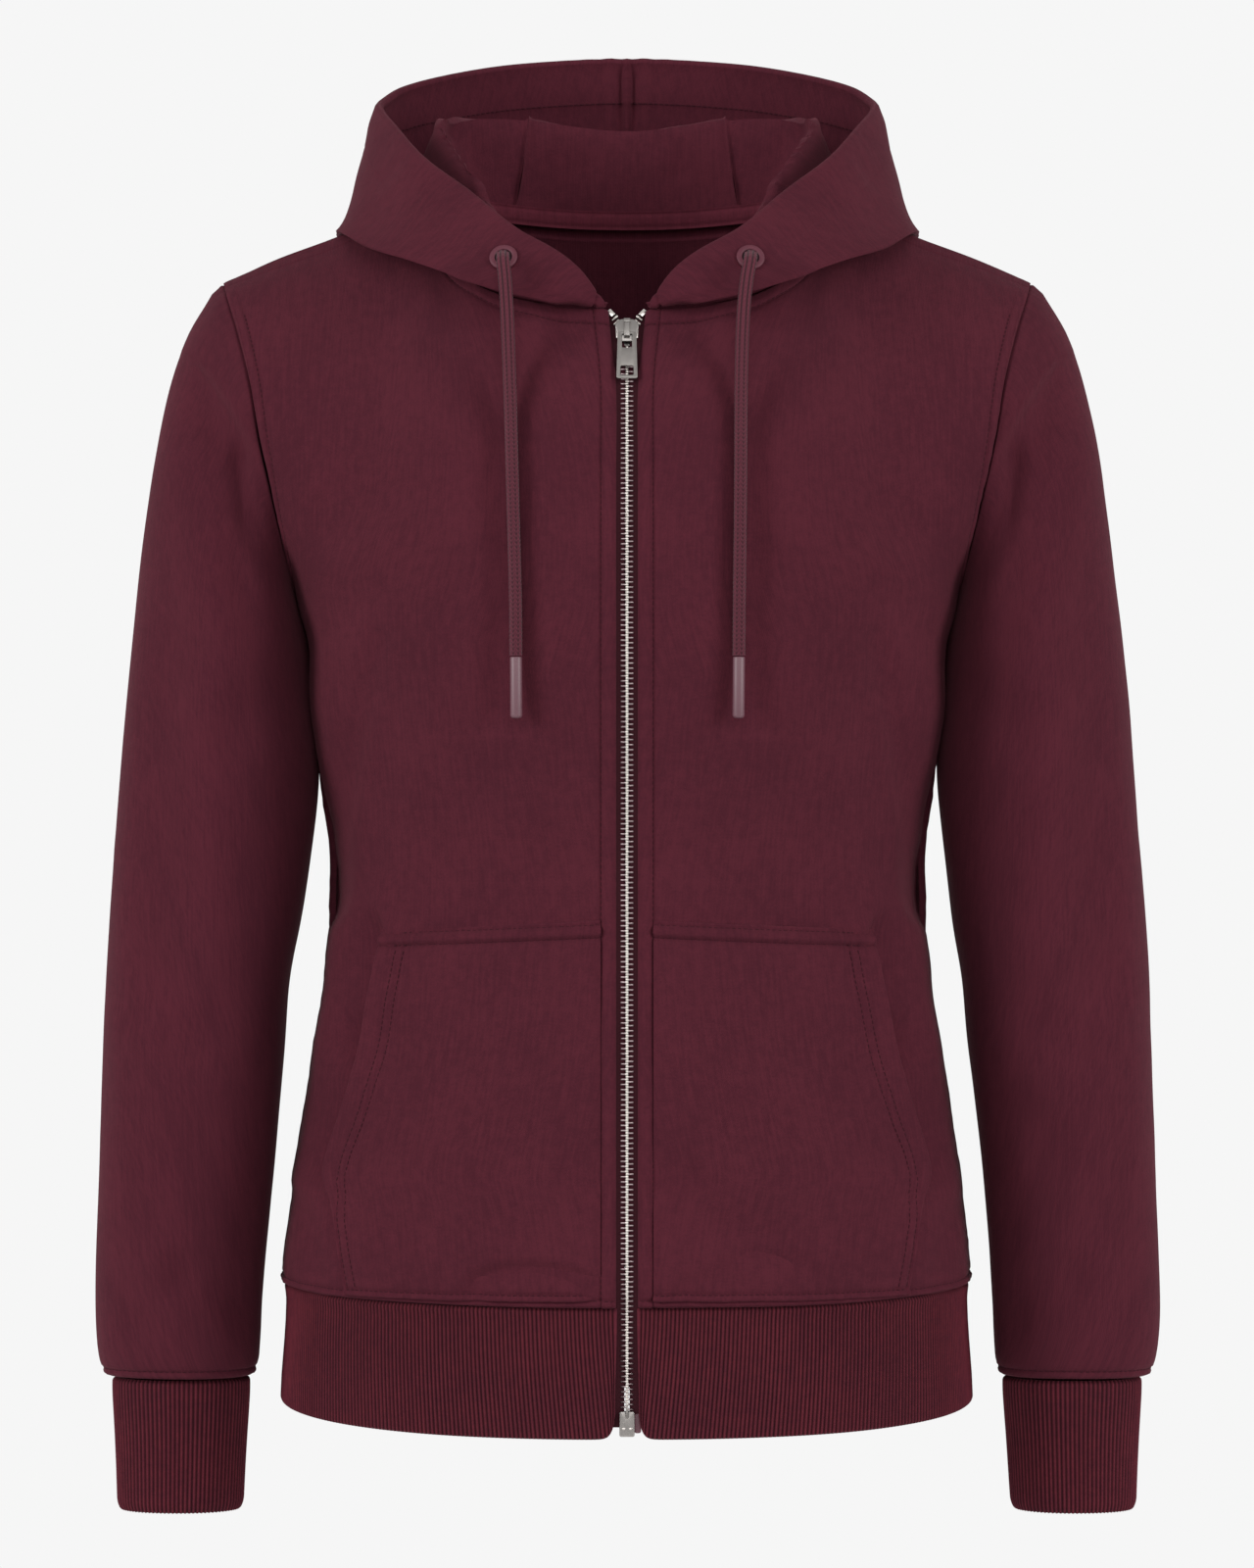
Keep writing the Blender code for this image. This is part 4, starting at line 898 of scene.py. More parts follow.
def add_node(tree, kind, inputs=None, **settings):
    """Adds a node with its settings. An input is given a constant, or another node's output to follow."""
    made = tree.nodes.new("ShaderNode" + kind)
    for key, value in settings.items():
        setattr(made, key, value)
    for name, value in (inputs or {}).items():
        if isinstance(value, bpy.types.NodeSocket):
            tree.links.new(value, made.inputs[name])
        else:
            made.inputs[name].default_value = value
    return made


def new_finish(name, **values):
    """A material whose shader has these constant values."""
    finish = bpy.data.materials.new(name)
    finish.use_nodes = True
    shader = finish.node_tree.nodes["Principled BSDF"]
    for key, value in values.items():
        shader.inputs[key.replace("_", " ").title().replace("Ior", "IOR")].default_value = value
    return finish, finish.node_tree, shader


PER_METRE = 1000.0  # a noise's scale is PER_METRE over its grain in mm, as places are in metres
PER_BAND = PER_METRE * math.tau / 20  # a wave's scale is PER_BAND over the spacing of its bands in mm


SHEEN = 0.07
GROOVE_SHADE = 0.3  # how dark the painted shade in a rib's grooves is beside its ribs


def brushed_knit(name, light, dark, deep=1.0, ribs=None):
    """Brushed sweatshirt knit: fine upright wales under a soft nap that glows a little at grazing angles."""
    finish, tree, shader = new_finish(
        name, roughness=0.95, specular_ior_level=0.08, sheen_weight=SHEEN, sheen_roughness=0.35
    )
    shader.inputs["Sheen Tint"].default_value = colour_of("#B86A78")
    place = add_node(tree, "UVMap").outputs["UV"]
    # the nap lies in soft patches a few millimetres across
    patches = add_node(
        tree, "TexNoise", {"Vector": place, "Scale": PER_METRE / 5, "Detail": 3.0, "Roughness": 0.6}
    )
    fibres = add_node(
        tree, "TexNoise", {"Vector": place, "Scale": PER_METRE / 1.1, "Detail": 2.0, "Roughness": 0.7}
    )
    cloud = add_node(tree, "TexNoise", {"Vector": place, "Scale": PER_METRE / 60, "Detail": 2.0})
    # uneven yarns show as faint upright streaks, 1.5 mm wide and 20 mm long
    upright = add_node(tree, "Mapping", {"Vector": place, "Scale": (1.0, 0.075, 1.0)})
    streaks = add_node(
        tree, "TexNoise", {"Vector": upright.outputs[0], "Scale": PER_METRE / 1.5, "Detail": 2.0}
    )
    mixed = add_node(tree, "Math", {0: patches.outputs["Fac"], 1: fibres.outputs["Fac"]}, operation="ADD")
    mixed = add_node(tree, "Math", {0: mixed.outputs[0], 1: cloud.outputs["Fac"]}, operation="ADD")
    mixed = add_node(tree, "Math", {0: mixed.outputs[0], 1: streaks.outputs["Fac"]}, operation="ADD")
    share = add_node(
        tree,
        "MapRange",
        {"Value": mixed.outputs[0], "From Min": 1.55, "From Max": 2.45},
        interpolation_type="SMOOTHSTEP",
    )
    shades = {0: share.outputs["Result"], "A": colour_of(dark), "B": colour_of(light)}
    colour = add_node(tree, "Mix", shades, data_type="RGBA")
    if ribs:
        # the grooves between ribs, this many mm apart, are painted darker: painted shade
        groove = add_node(tree, "TexWave", {"Vector": place, "Scale": PER_BAND / ribs}, bands_direction="X")
        shade = add_node(
            tree, "MapRange", {"Value": groove.outputs["Fac"], "To Min": 1.0, "To Max": GROOVE_SHADE}
        )
        colour = add_node(
            tree,
            "Mix",
            {0: 1.0, "A": colour.outputs["Result"], "B": shade.outputs["Result"]},
            data_type="RGBA",
            blend_type="MULTIPLY",
        )
    tree.links.new(colour.outputs["Result"], shader.inputs["Base Color"])
    # wales are 0.9 mm apart in this knit, and courses 0.7 mm
    wales = add_node(
        tree,
        "TexWave",
        {"Vector": place, "Scale": PER_BAND / 0.9, "Distortion": 1.2, "Detail": 2.0, "Detail Scale": 2.0},
        bands_direction="X",
    )
    courses = add_node(
        tree, "TexWave", {"Vector": place, "Scale": PER_BAND / 0.7, "Distortion": 1.5}, bands_direction="Y"
    )
    knit = add_node(tree, "Math", {0: wales.outputs["Fac"], 1: courses.outputs["Fac"]}, operation="MULTIPLY")
    nap = add_node(
        tree, "Math", {0: fibres.outputs["Fac"], 1: 1.4, 2: knit.outputs[0]}, operation="MULTIPLY_ADD"
    )
    nap = add_node(
        tree, "Math", {0: patches.outputs["Fac"], 1: 1.5, 2: nap.outputs[0]}, operation="MULTIPLY_ADD"
    )
    bump = add_node(tree, "Bump", {"Height": nap.outputs[0], "Strength": 0.5 * deep, "Distance": 0.00022})
    tree.links.new(bump.outputs["Normal"], shader.inputs["Normal"])
    return finish


knit = brushed_knit("brushed_sweatshirt_knit", "#3B141D", "#310F18")
rib = brushed_knit("two_by_two_rib", "#471820", "#3A131C", deep=0.8, ribs=2.1)
# painted shade: the thread is painted darker than the knit, for the shade in its stitch holes
thread = brushed_knit("sewing_thread_painted_darker_as_shade", "#2C0E15", "#200A10", deep=0.4)


def knitted_cord(name, light, dark):
    """Tubular knitted cord: upright wales at its top, which open into rows of V-shaped loops further down,
    with painted shade in the grooves between them.
    """
    finish, tree, shader = new_finish(name, roughness=0.9, specular_ior_level=0.1, sheen_weight=SHEEN)
    place = add_node(tree, "UVMap").outputs["UV"]
    parts = add_node(tree, "SeparateXYZ", {0: place})
    # wales are CORD_WALE apart round the cord and loops LOOP_PITCH along it, slanting beside each wale
    wales = add_node(tree, "TexWave", {"Vector": place, "Scale": PER_BAND / CORD_WALE}, bands_direction="X")
    beside = add_node(tree, "Math", {0: parts.outputs["X"], 1: CORD_WALE * 0.0005}, operation="PINGPONG")
    slant = add_node(
        tree, "Math", {0: beside.outputs[0], 1: 1.3, 2: parts.outputs["Y"]}, operation="MULTIPLY_ADD"
    )
    turns = add_node(
        tree, "Math", {0: slant.outputs[0], 1: math.tau * PER_METRE / LOOP_PITCH}, operation="MULTIPLY"
    )
    loops = add_node(tree, "Math", {0: turns.outputs[0]}, operation="SINE")
    loops = add_node(tree, "MapRange", {"Value": loops.outputs[0], "From Min": -1.0})
    both = add_node(tree, "Mix", {0: 0.45, 2: loops.outputs[0], 3: wales.outputs["Fac"]}, data_type="FLOAT")
    open_share = add_node(tree, "MapRange", {"Value": parts.outputs["Y"], "From Min": 0.03, "From Max": 0.09})
    forms = {0: open_share.outputs[0], 2: wales.outputs["Fac"], 3: both.outputs[0]}
    form = add_node(tree, "Mix", forms, data_type="FLOAT")
    # painted shade: the colour runs from dark in the grooves between wales and loops to light on their tops
    colour = add_node(
        tree, "Mix", {0: form.outputs[0], "A": colour_of(dark), "B": colour_of(light)}, data_type="RGBA"
    )
    tree.links.new(colour.outputs["Result"], shader.inputs["Base Color"])
    fibres = add_node(tree, "TexNoise", {"Vector": place, "Scale": PER_METRE / 0.4, "Detail": 2.0})
    height = add_node(
        tree, "Math", {0: fibres.outputs["Fac"], 1: 0.5, 2: form.outputs[0]}, operation="MULTIPLY_ADD"
    )
    bump = add_node(tree, "Bump", {"Height": height.outputs[0], "Strength": 0.5, "Distance": 0.0003})
    tree.links.new(bump.outputs["Normal"], shader.inputs["Normal"])
    return finish


def woven_narrow(name, light, dark):
    """Polyester twill tape: fine slanting ribs, a slight lustre."""
    finish, tree, shader = new_finish(name, roughness=0.85, specular_ior_level=0.1)
    place = add_node(tree, "UVMap").outputs["UV"]
    # the twill's ribs are 0.6 mm apart, at 45 degrees
    twill = add_node(tree, "TexWave", {"Vector": place, "Scale": PER_BAND / 0.6}, bands_direction="DIAGONAL")
    yarn = add_node(tree, "TexNoise", {"Vector": place, "Scale": PER_METRE / 0.8, "Detail": 2.0})
    mixed = add_node(tree, "Math", {0: twill.outputs["Fac"], 1: yarn.outputs["Fac"]}, operation="MULTIPLY")
    colour = add_node(
        tree, "Mix", {0: mixed.outputs[0], "A": colour_of(dark), "B": colour_of(light)}, data_type="RGBA"
    )
    tree.links.new(colour.outputs["Result"], shader.inputs["Base Color"])
    bump = add_node(tree, "Bump", {"Height": twill.outputs["Fac"], "Strength": 0.6, "Distance": 0.00015})
    tree.links.new(bump.outputs["Normal"], shader.inputs["Normal"])
    return finish


def plated(name, light, dark, rough, brush, arm_shade=None):
    """Plated metal: even, with faint marks of the tumbling that polished it and small shifts of tone. Given
    arm_shade, the zip teeth take that colour as painted shade away from their middle.
    """
    finish, tree, shader = new_finish(name, metallic=1.0)
    place = add_node(tree, "TexCoord").outputs["Object"]
    # marks run along the part, some 0.15 mm wide and 3 mm long
    stretch = add_node(tree, "Mapping", {"Vector": place, "Scale": (1.0, 1.0, 0.06)})
    marks = add_node(
        tree, "TexNoise", {"Vector": stretch.outputs[0], "Scale": PER_METRE / 0.3, "Detail": 3.0}
    )
    tone = add_node(tree, "TexNoise", {"Vector": place, "Scale": PER_METRE / 4, "Detail": 2.0})
    colour = add_node(
        tree, "Mix", {0: tone.outputs["Fac"], "A": colour_of(dark), "B": colour_of(light)}, data_type="RGBA"
    )
    if arm_shade:
        # painted shade: each tooth's arm, 0.8 to 4 mm to each side of the zip's middle, is painted a darker,
        # pinkish grey than its middle
        aside = add_node(
            tree, "Math", {0: add_node(tree, "SeparateXYZ", {0: place}).outputs["X"]}, operation="ABSOLUTE"
        )
        away = add_node(tree, "Math", {0: aside.outputs[0], 1: 0.0024}, operation="SUBTRACT")
        band = add_node(tree, "Math", {0: away.outputs[0]}, operation="ABSOLUTE")
        shaded_arms = add_node(tree, "MapRange", {"Value": band.outputs[0], "From Min": 0.0019, "From Max": 0.0016})
        shades = {0: shaded_arms.outputs["Result"], "A": colour.outputs["Result"], "B": colour_of(arm_shade)}
        colour = add_node(tree, "Mix", shades, data_type="RGBA")
    tree.links.new(colour.outputs["Result"], shader.inputs["Base Color"])
    gloss = add_node(
        tree, "MapRange", {"Value": marks.outputs["Fac"], "To Min": rough - 0.06, "To Max": rough + 0.1}
    )
    tree.links.new(gloss.outputs["Result"], shader.inputs["Roughness"])
    bump = add_node(tree, "Bump", {"Height": marks.outputs["Fac"], "Strength": brush, "Distance": 0.00003})
    tree.links.new(bump.outputs["Normal"], shader.inputs["Normal"])
    return finish


def smooth_finish(name, colour, dark, rough, grain, depth, **values):
    """Moulded plastic or baked paint: one colour with small shifts of tone and a fine orange-peel grain."""
    finish, tree, shader = new_finish(name, roughness=rough, **values)
    place = add_node(tree, "TexCoord").outputs["Object"]
    tone = add_node(tree, "TexNoise", {"Vector": place, "Scale": PER_METRE / 6, "Detail": 3.0})
    peel = add_node(tree, "TexNoise", {"Vector": place, "Scale": PER_METRE / grain, "Detail": 2.0})
    mixed = add_node(
        tree, "Mix", {0: tone.outputs["Fac"], "A": colour_of(dark), "B": colour_of(colour)}, data_type="RGBA"
    )
    tree.links.new(mixed.outputs["Result"], shader.inputs["Base Color"])
    bump = add_node(tree, "Bump", {"Height": peel.outputs["Fac"], "Strength": 0.4, "Distance": depth})
    tree.links.new(bump.outputs["Normal"], shader.inputs["Normal"])
    return finish


# painted shade: the tape is painted darker than the knit, for the shade it lies in beside the teeth
tape = woven_narrow("twill_tape_painted_dark_as_shade", "#300C14", "#22080E")
neck_binding = brushed_knit("jersey_neck_binding", "#451923", "#39131C", deep=0.6)
tape_film = smooth_finish("fused_film_over_tape", "#532B36", "#47232C", 0.5, 0.8, 0.00004)
zip_metal = plated("nickel_plated_brass", "#C9C3BE", "#ADA6A1", 0.24, 0.3)
# the last colour is painted shade on the teeth's arms
teeth_metal = plated("nickel_teeth_with_painted_shade_on_arms", "#BBB6B1", "#A09993", 0.32, 0.3, "#77696A")
slider_metal = plated("worn_nickel_on_zinc_casting", "#8A8683", "#75716E", 0.36, 0.3)
pull_metal = plated("dark_nickel_plated_zinc", "#7C7875", "#6C6865", 0.44, 0.4)
cord_knit = knitted_cord("knitted_polyester_cord", "#4B212B", "#240D13")
tip_moulding = smooth_finish(
    "soft_touch_moulded_tip", "#4C2E36", "#42272E", 0.5, 0.7, 0.00005, specular_ior_level=0.4
)
eyelet_paint = smooth_finish(
    "baked_enamel_on_brass", "#471C27", "#3A1620", 0.6, 0.5, 0.00003, specular_ior_level=0.2
)
# the colour of a dark disc: painted shade in each eyelet's hole
hole_shade_finish = brushed_knit("painted_shade_in_eyelet_hole", "#180A0D", "#10070A", deep=0.4)


# ---------------------------------------------------------------- the cloth pieces
PITCH = 4.4  # mm between points away from seams
ARMHOLE_STITCH = 6.2
ARMHOLE_STITCH_TOP = -64.0
NECK_STITCH = 9.6
HEM_STITCH = 4.2
ZIP_STITCH = 6.8
CUFF_STITCH = 4.4

zip_fold = Seam((ZIP_STITCH,), 0.25, 0.5)
armhole_seam = Seam((ARMHOLE_STITCH,), 1.4, 0.8, 0.6, "armhole", 0.6, 0.7)
hem_seam = Seam((HEM_STITCH,), 1.6, 1.0, 1.2)
neck_joint = Seam((NECK_STITCH,), 1.4, 1.2, 1.5, "neck")
plain_seam = Seam((), 1.4, 0.6)
centre_seam = Seam((), 1.6, 0.5)


Cut = namedtuple("Cut", "width length area")  # a piece's flat cut, in metres and square metres
CUTS = {
    "front": Cut(0.284, 0.608, 0.1188),
    "back": Cut(0.503, 0.607, 0.2479),
    "sleeve": Cut(0.479, 0.581, 0.1532),
    "hood_side": Cut(0.457, 0.463, 0.0743),
    "hood_centre": Cut(0.125, 0.313, 0.0255),
    "cuff": Cut(0.238, 0.069, 0.0156),
    "hem_band": Cut(1.150, 0.065, 0.0710),
    "pocket": Cut(0.156, 0.198, 0.0263),
    "zip_tape": Cut(0.013, 0.568, 0.0066),
    "neck_binding": Cut(0.159, 0.010, 0.00159),
}


def declare_cut(piece, cut, stitches=()):
    width, length, area = CUTS[cut]


def side_seamed(line):
    """Whether this line of stitches runs up a side seam and on along the armhole."""
    return np.abs(line[:, 0]).min() > 120 and line[0, 2] < ARMPIT_Z < line[-1, 2]


def add_topstitch(name, panel, edges, mirror=False, back=None):
    """Stitches along some edges, or behind them on the cloth's back where its thickness is given."""
    lines = [line for edge in edges for line in panel.stitch_lines(edge)]
    kept = []
    for line, ways in lines:
        keep = slice(None)
        if side_seamed(line):
            keep = (line[:, 2] > ARMPIT_Z) & (line[:, 2] < ARMHOLE_STITCH_TOP)
        elif panel.seams[3].fade and line[:, 2].min() > -150:
            keep = np.abs(line[:, 0]) < NECK_REACH - 4
        kept.append((line[keep], ways[keep]))
    lines = kept
    if back:
        lines = [(line - ways * back, -ways) for line, ways in lines]
    points, faces = stitch_mesh(lines)
    return dress(add_mesh(name, points, faces, thread, mirror=mirror), "sweatshirt_knit")


def held_flat(grid, beside):
    """Creases die out where the cloth is held by the armhole seam, this far beside it."""
    above = np.clip((grid[..., 2] - ARMPIT_Z) / 20, 0, 1)
    return 1 - (1 - np.clip(beside / 16, 0, 1)) * above


def add_fronts():
    for side, sign in BOTH_SIDES:
        grid = body_grid(False, 90, 120, 70)
        ways, beside = normals(grid), steps(grid, 1)[:, -1:] - steps(grid, 1)
        depth = crease_depth("front", sign, grid[..., 0], grid[..., 2]) * held_flat(grid, beside)
        grid = grid - ways * (depth - waves(grid) * 0.5)[..., None]
        panel = Panel(grid, (zip_fold, armhole_seam, hem_seam, neck_joint), PITCH)
        name = f"front_panel_{side}"
        piece = add_shell(name, panel, KNIT, knit, sign < 0, ("left",))
        dress(piece, "sweatshirt_knit", f"front_{side}")
        stitches = add_topstitch(f"front_topstitch_{side}", panel, (0, 1, 2, 3), sign < 0)
        declare_cut(piece, "front", [stitches])


def add_back():
    grid = body_grid(True, 90, 120, 70)
    halves = []
    for sign in (-1, 1):
        ways = normals(grid)
        depth = crease_depth("back", sign, grid[..., 0], grid[..., 2])
        depth = depth * held_flat(grid, steps(grid, 1)[:, -1:] - steps(grid, 1))
        halves.append(grid + ways * depth[..., None])
    whole = np.concatenate([halves[1][:, ::-1], mirrored(halves[0])[:, 1:]], axis=1)
    whole = whole + normals(whole) * (waves(whole) * 0.5)[..., None]
    panel = Panel(whole, (armhole_seam, armhole_seam, hem_seam, neck_joint), PITCH)
    piece = dress(add_shell("back_panel", panel, KNIT, knit), "sweatshirt_knit", "back")
    declare_cut(piece, "back", [add_topstitch("back_topstitch", panel, (0, 1, 2, 3))])


def add_sleeves():
    for side, sign in BOTH_SIDES:
        grid = sleeve_grid(124, 220)
        ways = normals(grid, True)
        x, z = grid[..., 0], grid[..., 2]
        ahead = crease_depth("sleeve_front", sign, x, z) * np.clip(-ways[..., 1], 0, 1)
        behind = crease_depth("sleeve_back", sign, x, z) * np.clip(ways[..., 1], 0, 1)
        start = np.clip(steps(grid, 0) / 18, 0, 1)
        grid = grid - ways * ((ahead + behind) * start - waves(grid) * 0.6 * (0.3 + 0.7 * start))[..., None]
        panel = Panel(
            grid, (PLAIN_EDGE, PLAIN_EDGE, plain_seam, Seam((CUFF_STITCH,), 0.8, 0.8)), PITCH, ringed=True
        )
        piece = dress(
            add_shell(f"sleeve_shell_{side}", panel, KNIT, knit, sign < 0),
            "sweatshirt_knit",
            f"sleeve_{side}",
        )
        stitches = add_topstitch(f"sleeve_topstitch_{side}", panel, (3,), sign < 0)
        declare_cut(piece, "sleeve", [stitches])


BRIM_HEM = 22.0
RIM_ROLL = 1.8
BRIM_THICK = 2.9  # the hem round the hood's rim is folded over the drawstring
HOOD_PITCH = 3.0
GATHER_HEIGHT = 2.2  # gathers in the hem beside the middle seam
GATHER_PITCH = 12.5
RIPPLE_HEIGHT = 0.6  # slanting ripples between the rim and the hem's stitches
RIPPLE_PITCH = 9.5


def add_hood():
    shares = np.linspace(0, 1, 161)
    brim = Seam((BRIM_HEM,), 0.0, 0.0, 0.0, None, 0.0, 0.2)
    for side, sign in BOTH_SIDES:
        grid = hood_grid(side_ends, shares, 160)
        ways = normals(grid)
        depth = crease_depth("hood", sign, steps(grid, 1), steps(grid, 0))
        between = np.sin(np.linspace(0, np.pi, grid.shape[1]))[None] ** 0.5
        edge = between * np.sin(shares * np.pi)[:, None] ** 0.5
        # the drawstring's casing gathers a little beside the middle seam
        beside, down = steps(grid, 1)[:, -1:] - steps(grid, 1), steps(grid, 0)[-1:] - steps(grid, 0)
        pucker = GATHER_HEIGHT * np.sin(beside * 2 * np.pi / GATHER_PITCH) * np.exp(-beside / 12)
        pucker = pucker * np.exp(-(((down - 16) / 24) ** 2))
        pucker = pucker * np.clip(down / 8, 0, 1) * np.clip(beside / 4, 0, 1)
        slanting = steps(grid, 1) * 0.8 + down * 0.9
        ripple = RIPPLE_HEIGHT * np.sin(slanting * 2 * np.pi / RIPPLE_PITCH)
        ripple = ripple * np.exp(-(((down - 11) / 6) ** 2))
        grid = grid - ways * (depth * edge - waves(grid) * 0.5 * edge - pucker - ripple * edge)[..., None]
        panel = Panel(grid, (zip_fold, centre_seam, Seam((), 1.0, 0.5), brim), HOOD_PITCH)
        seam = np.array([side_ends(share)[1] == LAST_STATION for share in shares])
        last = np.interp(panel.up[:, -1], steps(grid, 0)[:, -1], seam) > 0.5
        panel.ways[last, -1, 0] = 0
        panel.ways[last, -1] = unit(panel.ways[last, -1])
        panel.grid[last, -1, 0] = 0
        inset = panel.up[-1:] - panel.up
        hem = np.clip((BRIM_HEM + 2 - inset) / 4, 0, 1)
        thick = KNIT + (BRIM_THICK - KNIT) * hem + RIM_ROLL * np.exp(-inset / 5)
        thick = KNIT + (thick - KNIT) * np.clip(panel.across / 12, 0, 1)
        name = f"hood_side_{side}"
        piece = dress(
            add_shell(name, panel, thick, knit, sign < 0, ("top",)), "sweatshirt_knit", f"hood_{side}"
        )
        stitches = add_topstitch(f"hood_topstitch_{side}", panel, (3,), sign < 0, BRIM_THICK - 0.4)
        declare_cut(piece, "hood_side", [stitches])
    half = hood_grid(centre_ends, np.linspace(0, TAPER_END, 131), 30)
    half[..., 0] -= half[:, -1:, 0] * np.linspace(0, 1, half.shape[1])  # its last column lies in the middle
    ways, aside, up = normals(half), np.abs(half[..., 0]), steps(half, 0)
    # creases and waves die out at its seams and towards its tip
    hold = np.sin(np.linspace(0, np.pi / 2, half.shape[1]))[None] ** 0.5 * np.clip(aside[:, :1] / 12, 0, 1)
    left, right = (
        half - ways * (crease_depth("hood_centre", sign, aside, up) * hold)[..., None] for sign in (-1, 1)
    )
    whole = np.concatenate([right, mirrored(left)[:, -2::-1]], axis=1)
    hold = np.append(hold, hold[:, -2::-1], axis=1)
    whole = whole + normals(whole) * (waves(whole) * 0.4 * np.clip(up[:, :1] / 20, 0, 1) * hold)[..., None]
    panel = Panel(whole, (plain_seam, plain_seam, Seam((), 1.0, 0.5), PLAIN_EDGE), HOOD_PITCH)
    piece = dress(add_shell("hood_centre_panel", panel, KNIT, knit), "sweatshirt_knit", "hood_centre")
    declare_cut(piece, "hood_centre", ())


CUFF_RIBS = 84  # 2.1 mm apart
CUFF_RIB_COLUMNS = 6
HEM_RIBS = 222  # on each half of the band
HEM_RIB_COLUMNS = 4
rib_top = Seam((), 1.5, 0.0)


def add_cuffs():
    for side, sign in BOTH_SIDES:
        grid = cuff_grid(CUFF_RIBS * CUFF_RIB_COLUMNS, 60)
        drop = steps(grid, 0)
        # the rib draws in under the sleeve's end, and its folded end turns in a little
        draw = 1.0 * np.exp(-drop / 7) + 1.2 * np.clip(1 - (drop[-1:] - drop) / 5, 0, 1) ** 2
        grid = grid - normals(grid, True) * (draw - waves(grid) * 0.35)[..., None]
        panel = Panel(grid, (PLAIN_EDGE, PLAIN_EDGE, rib_top, PLAIN_EDGE), 9.0, True, CUFF_RIB_COLUMNS)
        piece = dress(
            add_shell(f"cuff_rib_{side}", panel, BAND_THICK, rib, sign < 0, ("top",)),
            "rib_knit",
            f"cuff_{side}",
        )
        declare_cut(piece, "cuff")


def add_hem_band():
    half = spaced(hem_grid(np.linspace(0, 1, 1281), np.linspace(1, 0, 41)), HEM_RIBS * HEM_RIB_COLUMNS)
    whole = np.concatenate([half, mirrored(half)[:, -2::-1]], axis=1)
    up = steps(whole, 0)
    whole = whole - normals(whole) * (0.8 * np.exp(-(up[-1:] - up) / 6) - waves(whole) * 0.5)[..., None]
    edge = Seam((), 0.2, 0.0)
    panel = Panel(whole, (edge, edge, PLAIN_EDGE, rib_top), 9.0, rib_columns=HEM_RIB_COLUMNS)
    piece = add_shell("hem_band", panel, BAND_THICK, rib, round_edges=("bottom", "left", "right"))
    dress(piece, "rib_knit", "hem_rib")
    declare_cut(piece, "hem_band")


POCKET_PITCH = 1.9
POCKET_TOP_STITCHES = (1.5, 8.0)
POCKET_HEM_STITCH = 4.2
OPENING_STITCHES = (12.0, 17.2)  # rows inside the folded edge of the opening
SEWN_STITCHES = (1.6, 7.2)  # rows inside the edge below the opening, where it is sewn down
OPENING_END = (-500.0, -530.0)  # the opening's rows run into the sewn edge's between these heights


def add_pockets():
    for side, sign in BOTH_SIDES:
        grid = pocket_grid(150, 130)
        ways = normals(grid)
        x, z = grid[..., 0], grid[..., 2]
        share = np.clip((x - POCKET_INNER_X) / (x[:, -1:] - POCKET_INNER_X), 0, 1)
        # sewn down flat along the zip, the top and the hem, and slack at the opening
        below_top = steps(grid, 0)[-1:] - steps(grid, 0)
        slack = np.clip((x - POCKET_INNER_X) / 14, 0, 1) * np.clip(below_top / 16, 0, 1)
        slack = slack * np.clip((z - HEM_SEAM[1]) / 26, 0, 1)
        open_edge = share**5 * np.clip((z + 512) / 30, 0, 1) * np.clip((-388 - z) / 30, 0, 1)
        start = np.clip((x - POCKET_INNER_X) / 4, 0, 1)
        stand = 0.3 + 0.8 * start + 1.9 * slack + 2.8 * open_edge
        deep = crease_depth("pocket", sign, x, z) - waves(grid) * 0.45 * slack
        grid = grid + ways * (stand - deep)[..., None]
        seams = (
            Seam((), 0.1, 0.2),
            PLAIN_EDGE,
            Seam((POCKET_HEM_STITCH,), 1.6, 1.0, 1.2),
            Seam(POCKET_TOP_STITCHES, 0.6, 0.8, 0.3),
        )
        panel = Panel(grid, seams, POCKET_PITCH)
        heights = panel.grid[:, -1, 2]
        down = np.clip((OPENING_END[0] - heights) / (OPENING_END[0] - OPENING_END[1]), 0, 1)
        down = down * down * (3 - 2 * down)
        reach = panel.across[:, -1:] - panel.across
        groove, lines = 0, list(panel.stitch_lines(2)) + list(panel.stitch_lines(3))
        first_row = len(offsets_of(seams[2])) - 4
        rows = np.arange(first_row, len(heights) - len(offsets_of(seams[3])) + 3)
        for inset, sewn in zip(OPENING_STITCHES, SEWN_STITCHES):
            insets = inset + (sewn - inset) * down
            groove = groove + np.exp(-(((reach - insets[:, None]) / 1.1) ** 2))
            lines.append((insets, rows))
        puff = 1.3 * np.exp(-(((panel.up[-1:] - panel.up - 4.8) / 2.2) ** 2))
        panel.grid = panel.grid - panel.ways * (0.8 * groove - puff)[..., None]
        lines = [
            panel.line_beside(line[0][line[1]], line[1]) if np.ndim(line[0]) == 1 else line for line in lines
        ]
        name = f"kangaroo_pocket_{side}"
        piece = dress(
            add_shell(name, panel, KNIT, knit, sign < 0, ("right", "top")),
            "sweatshirt_knit",
            f"pocket_{side}",
        )
        points, faces = stitch_mesh(lines)
        stitches = dress(
            add_mesh(f"pocket_topstitch_{side}", points, faces, thread, mirror=sign < 0), "sweatshirt_knit"
        )
        declare_cut(piece, "pocket", [stitches])


add_fronts()
add_back()
add_sleeves()
add_hood()
add_cuffs()
add_hem_band()
add_pockets()


# ---------------------------------------------------------------- hard pieces, shaped one by one
def begin(piece=None):
    """Only this piece stays selected, so that the next operator works on it or on a new one alone."""
    if bpy.context.object and bpy.context.object.mode != "OBJECT":
        bpy.ops.object.mode_set(mode="OBJECT")
    bpy.ops.object.select_all(action="DESELECT")
    if piece:
        piece.select_set(True)
        bpy.context.view_layer.objects.active = piece


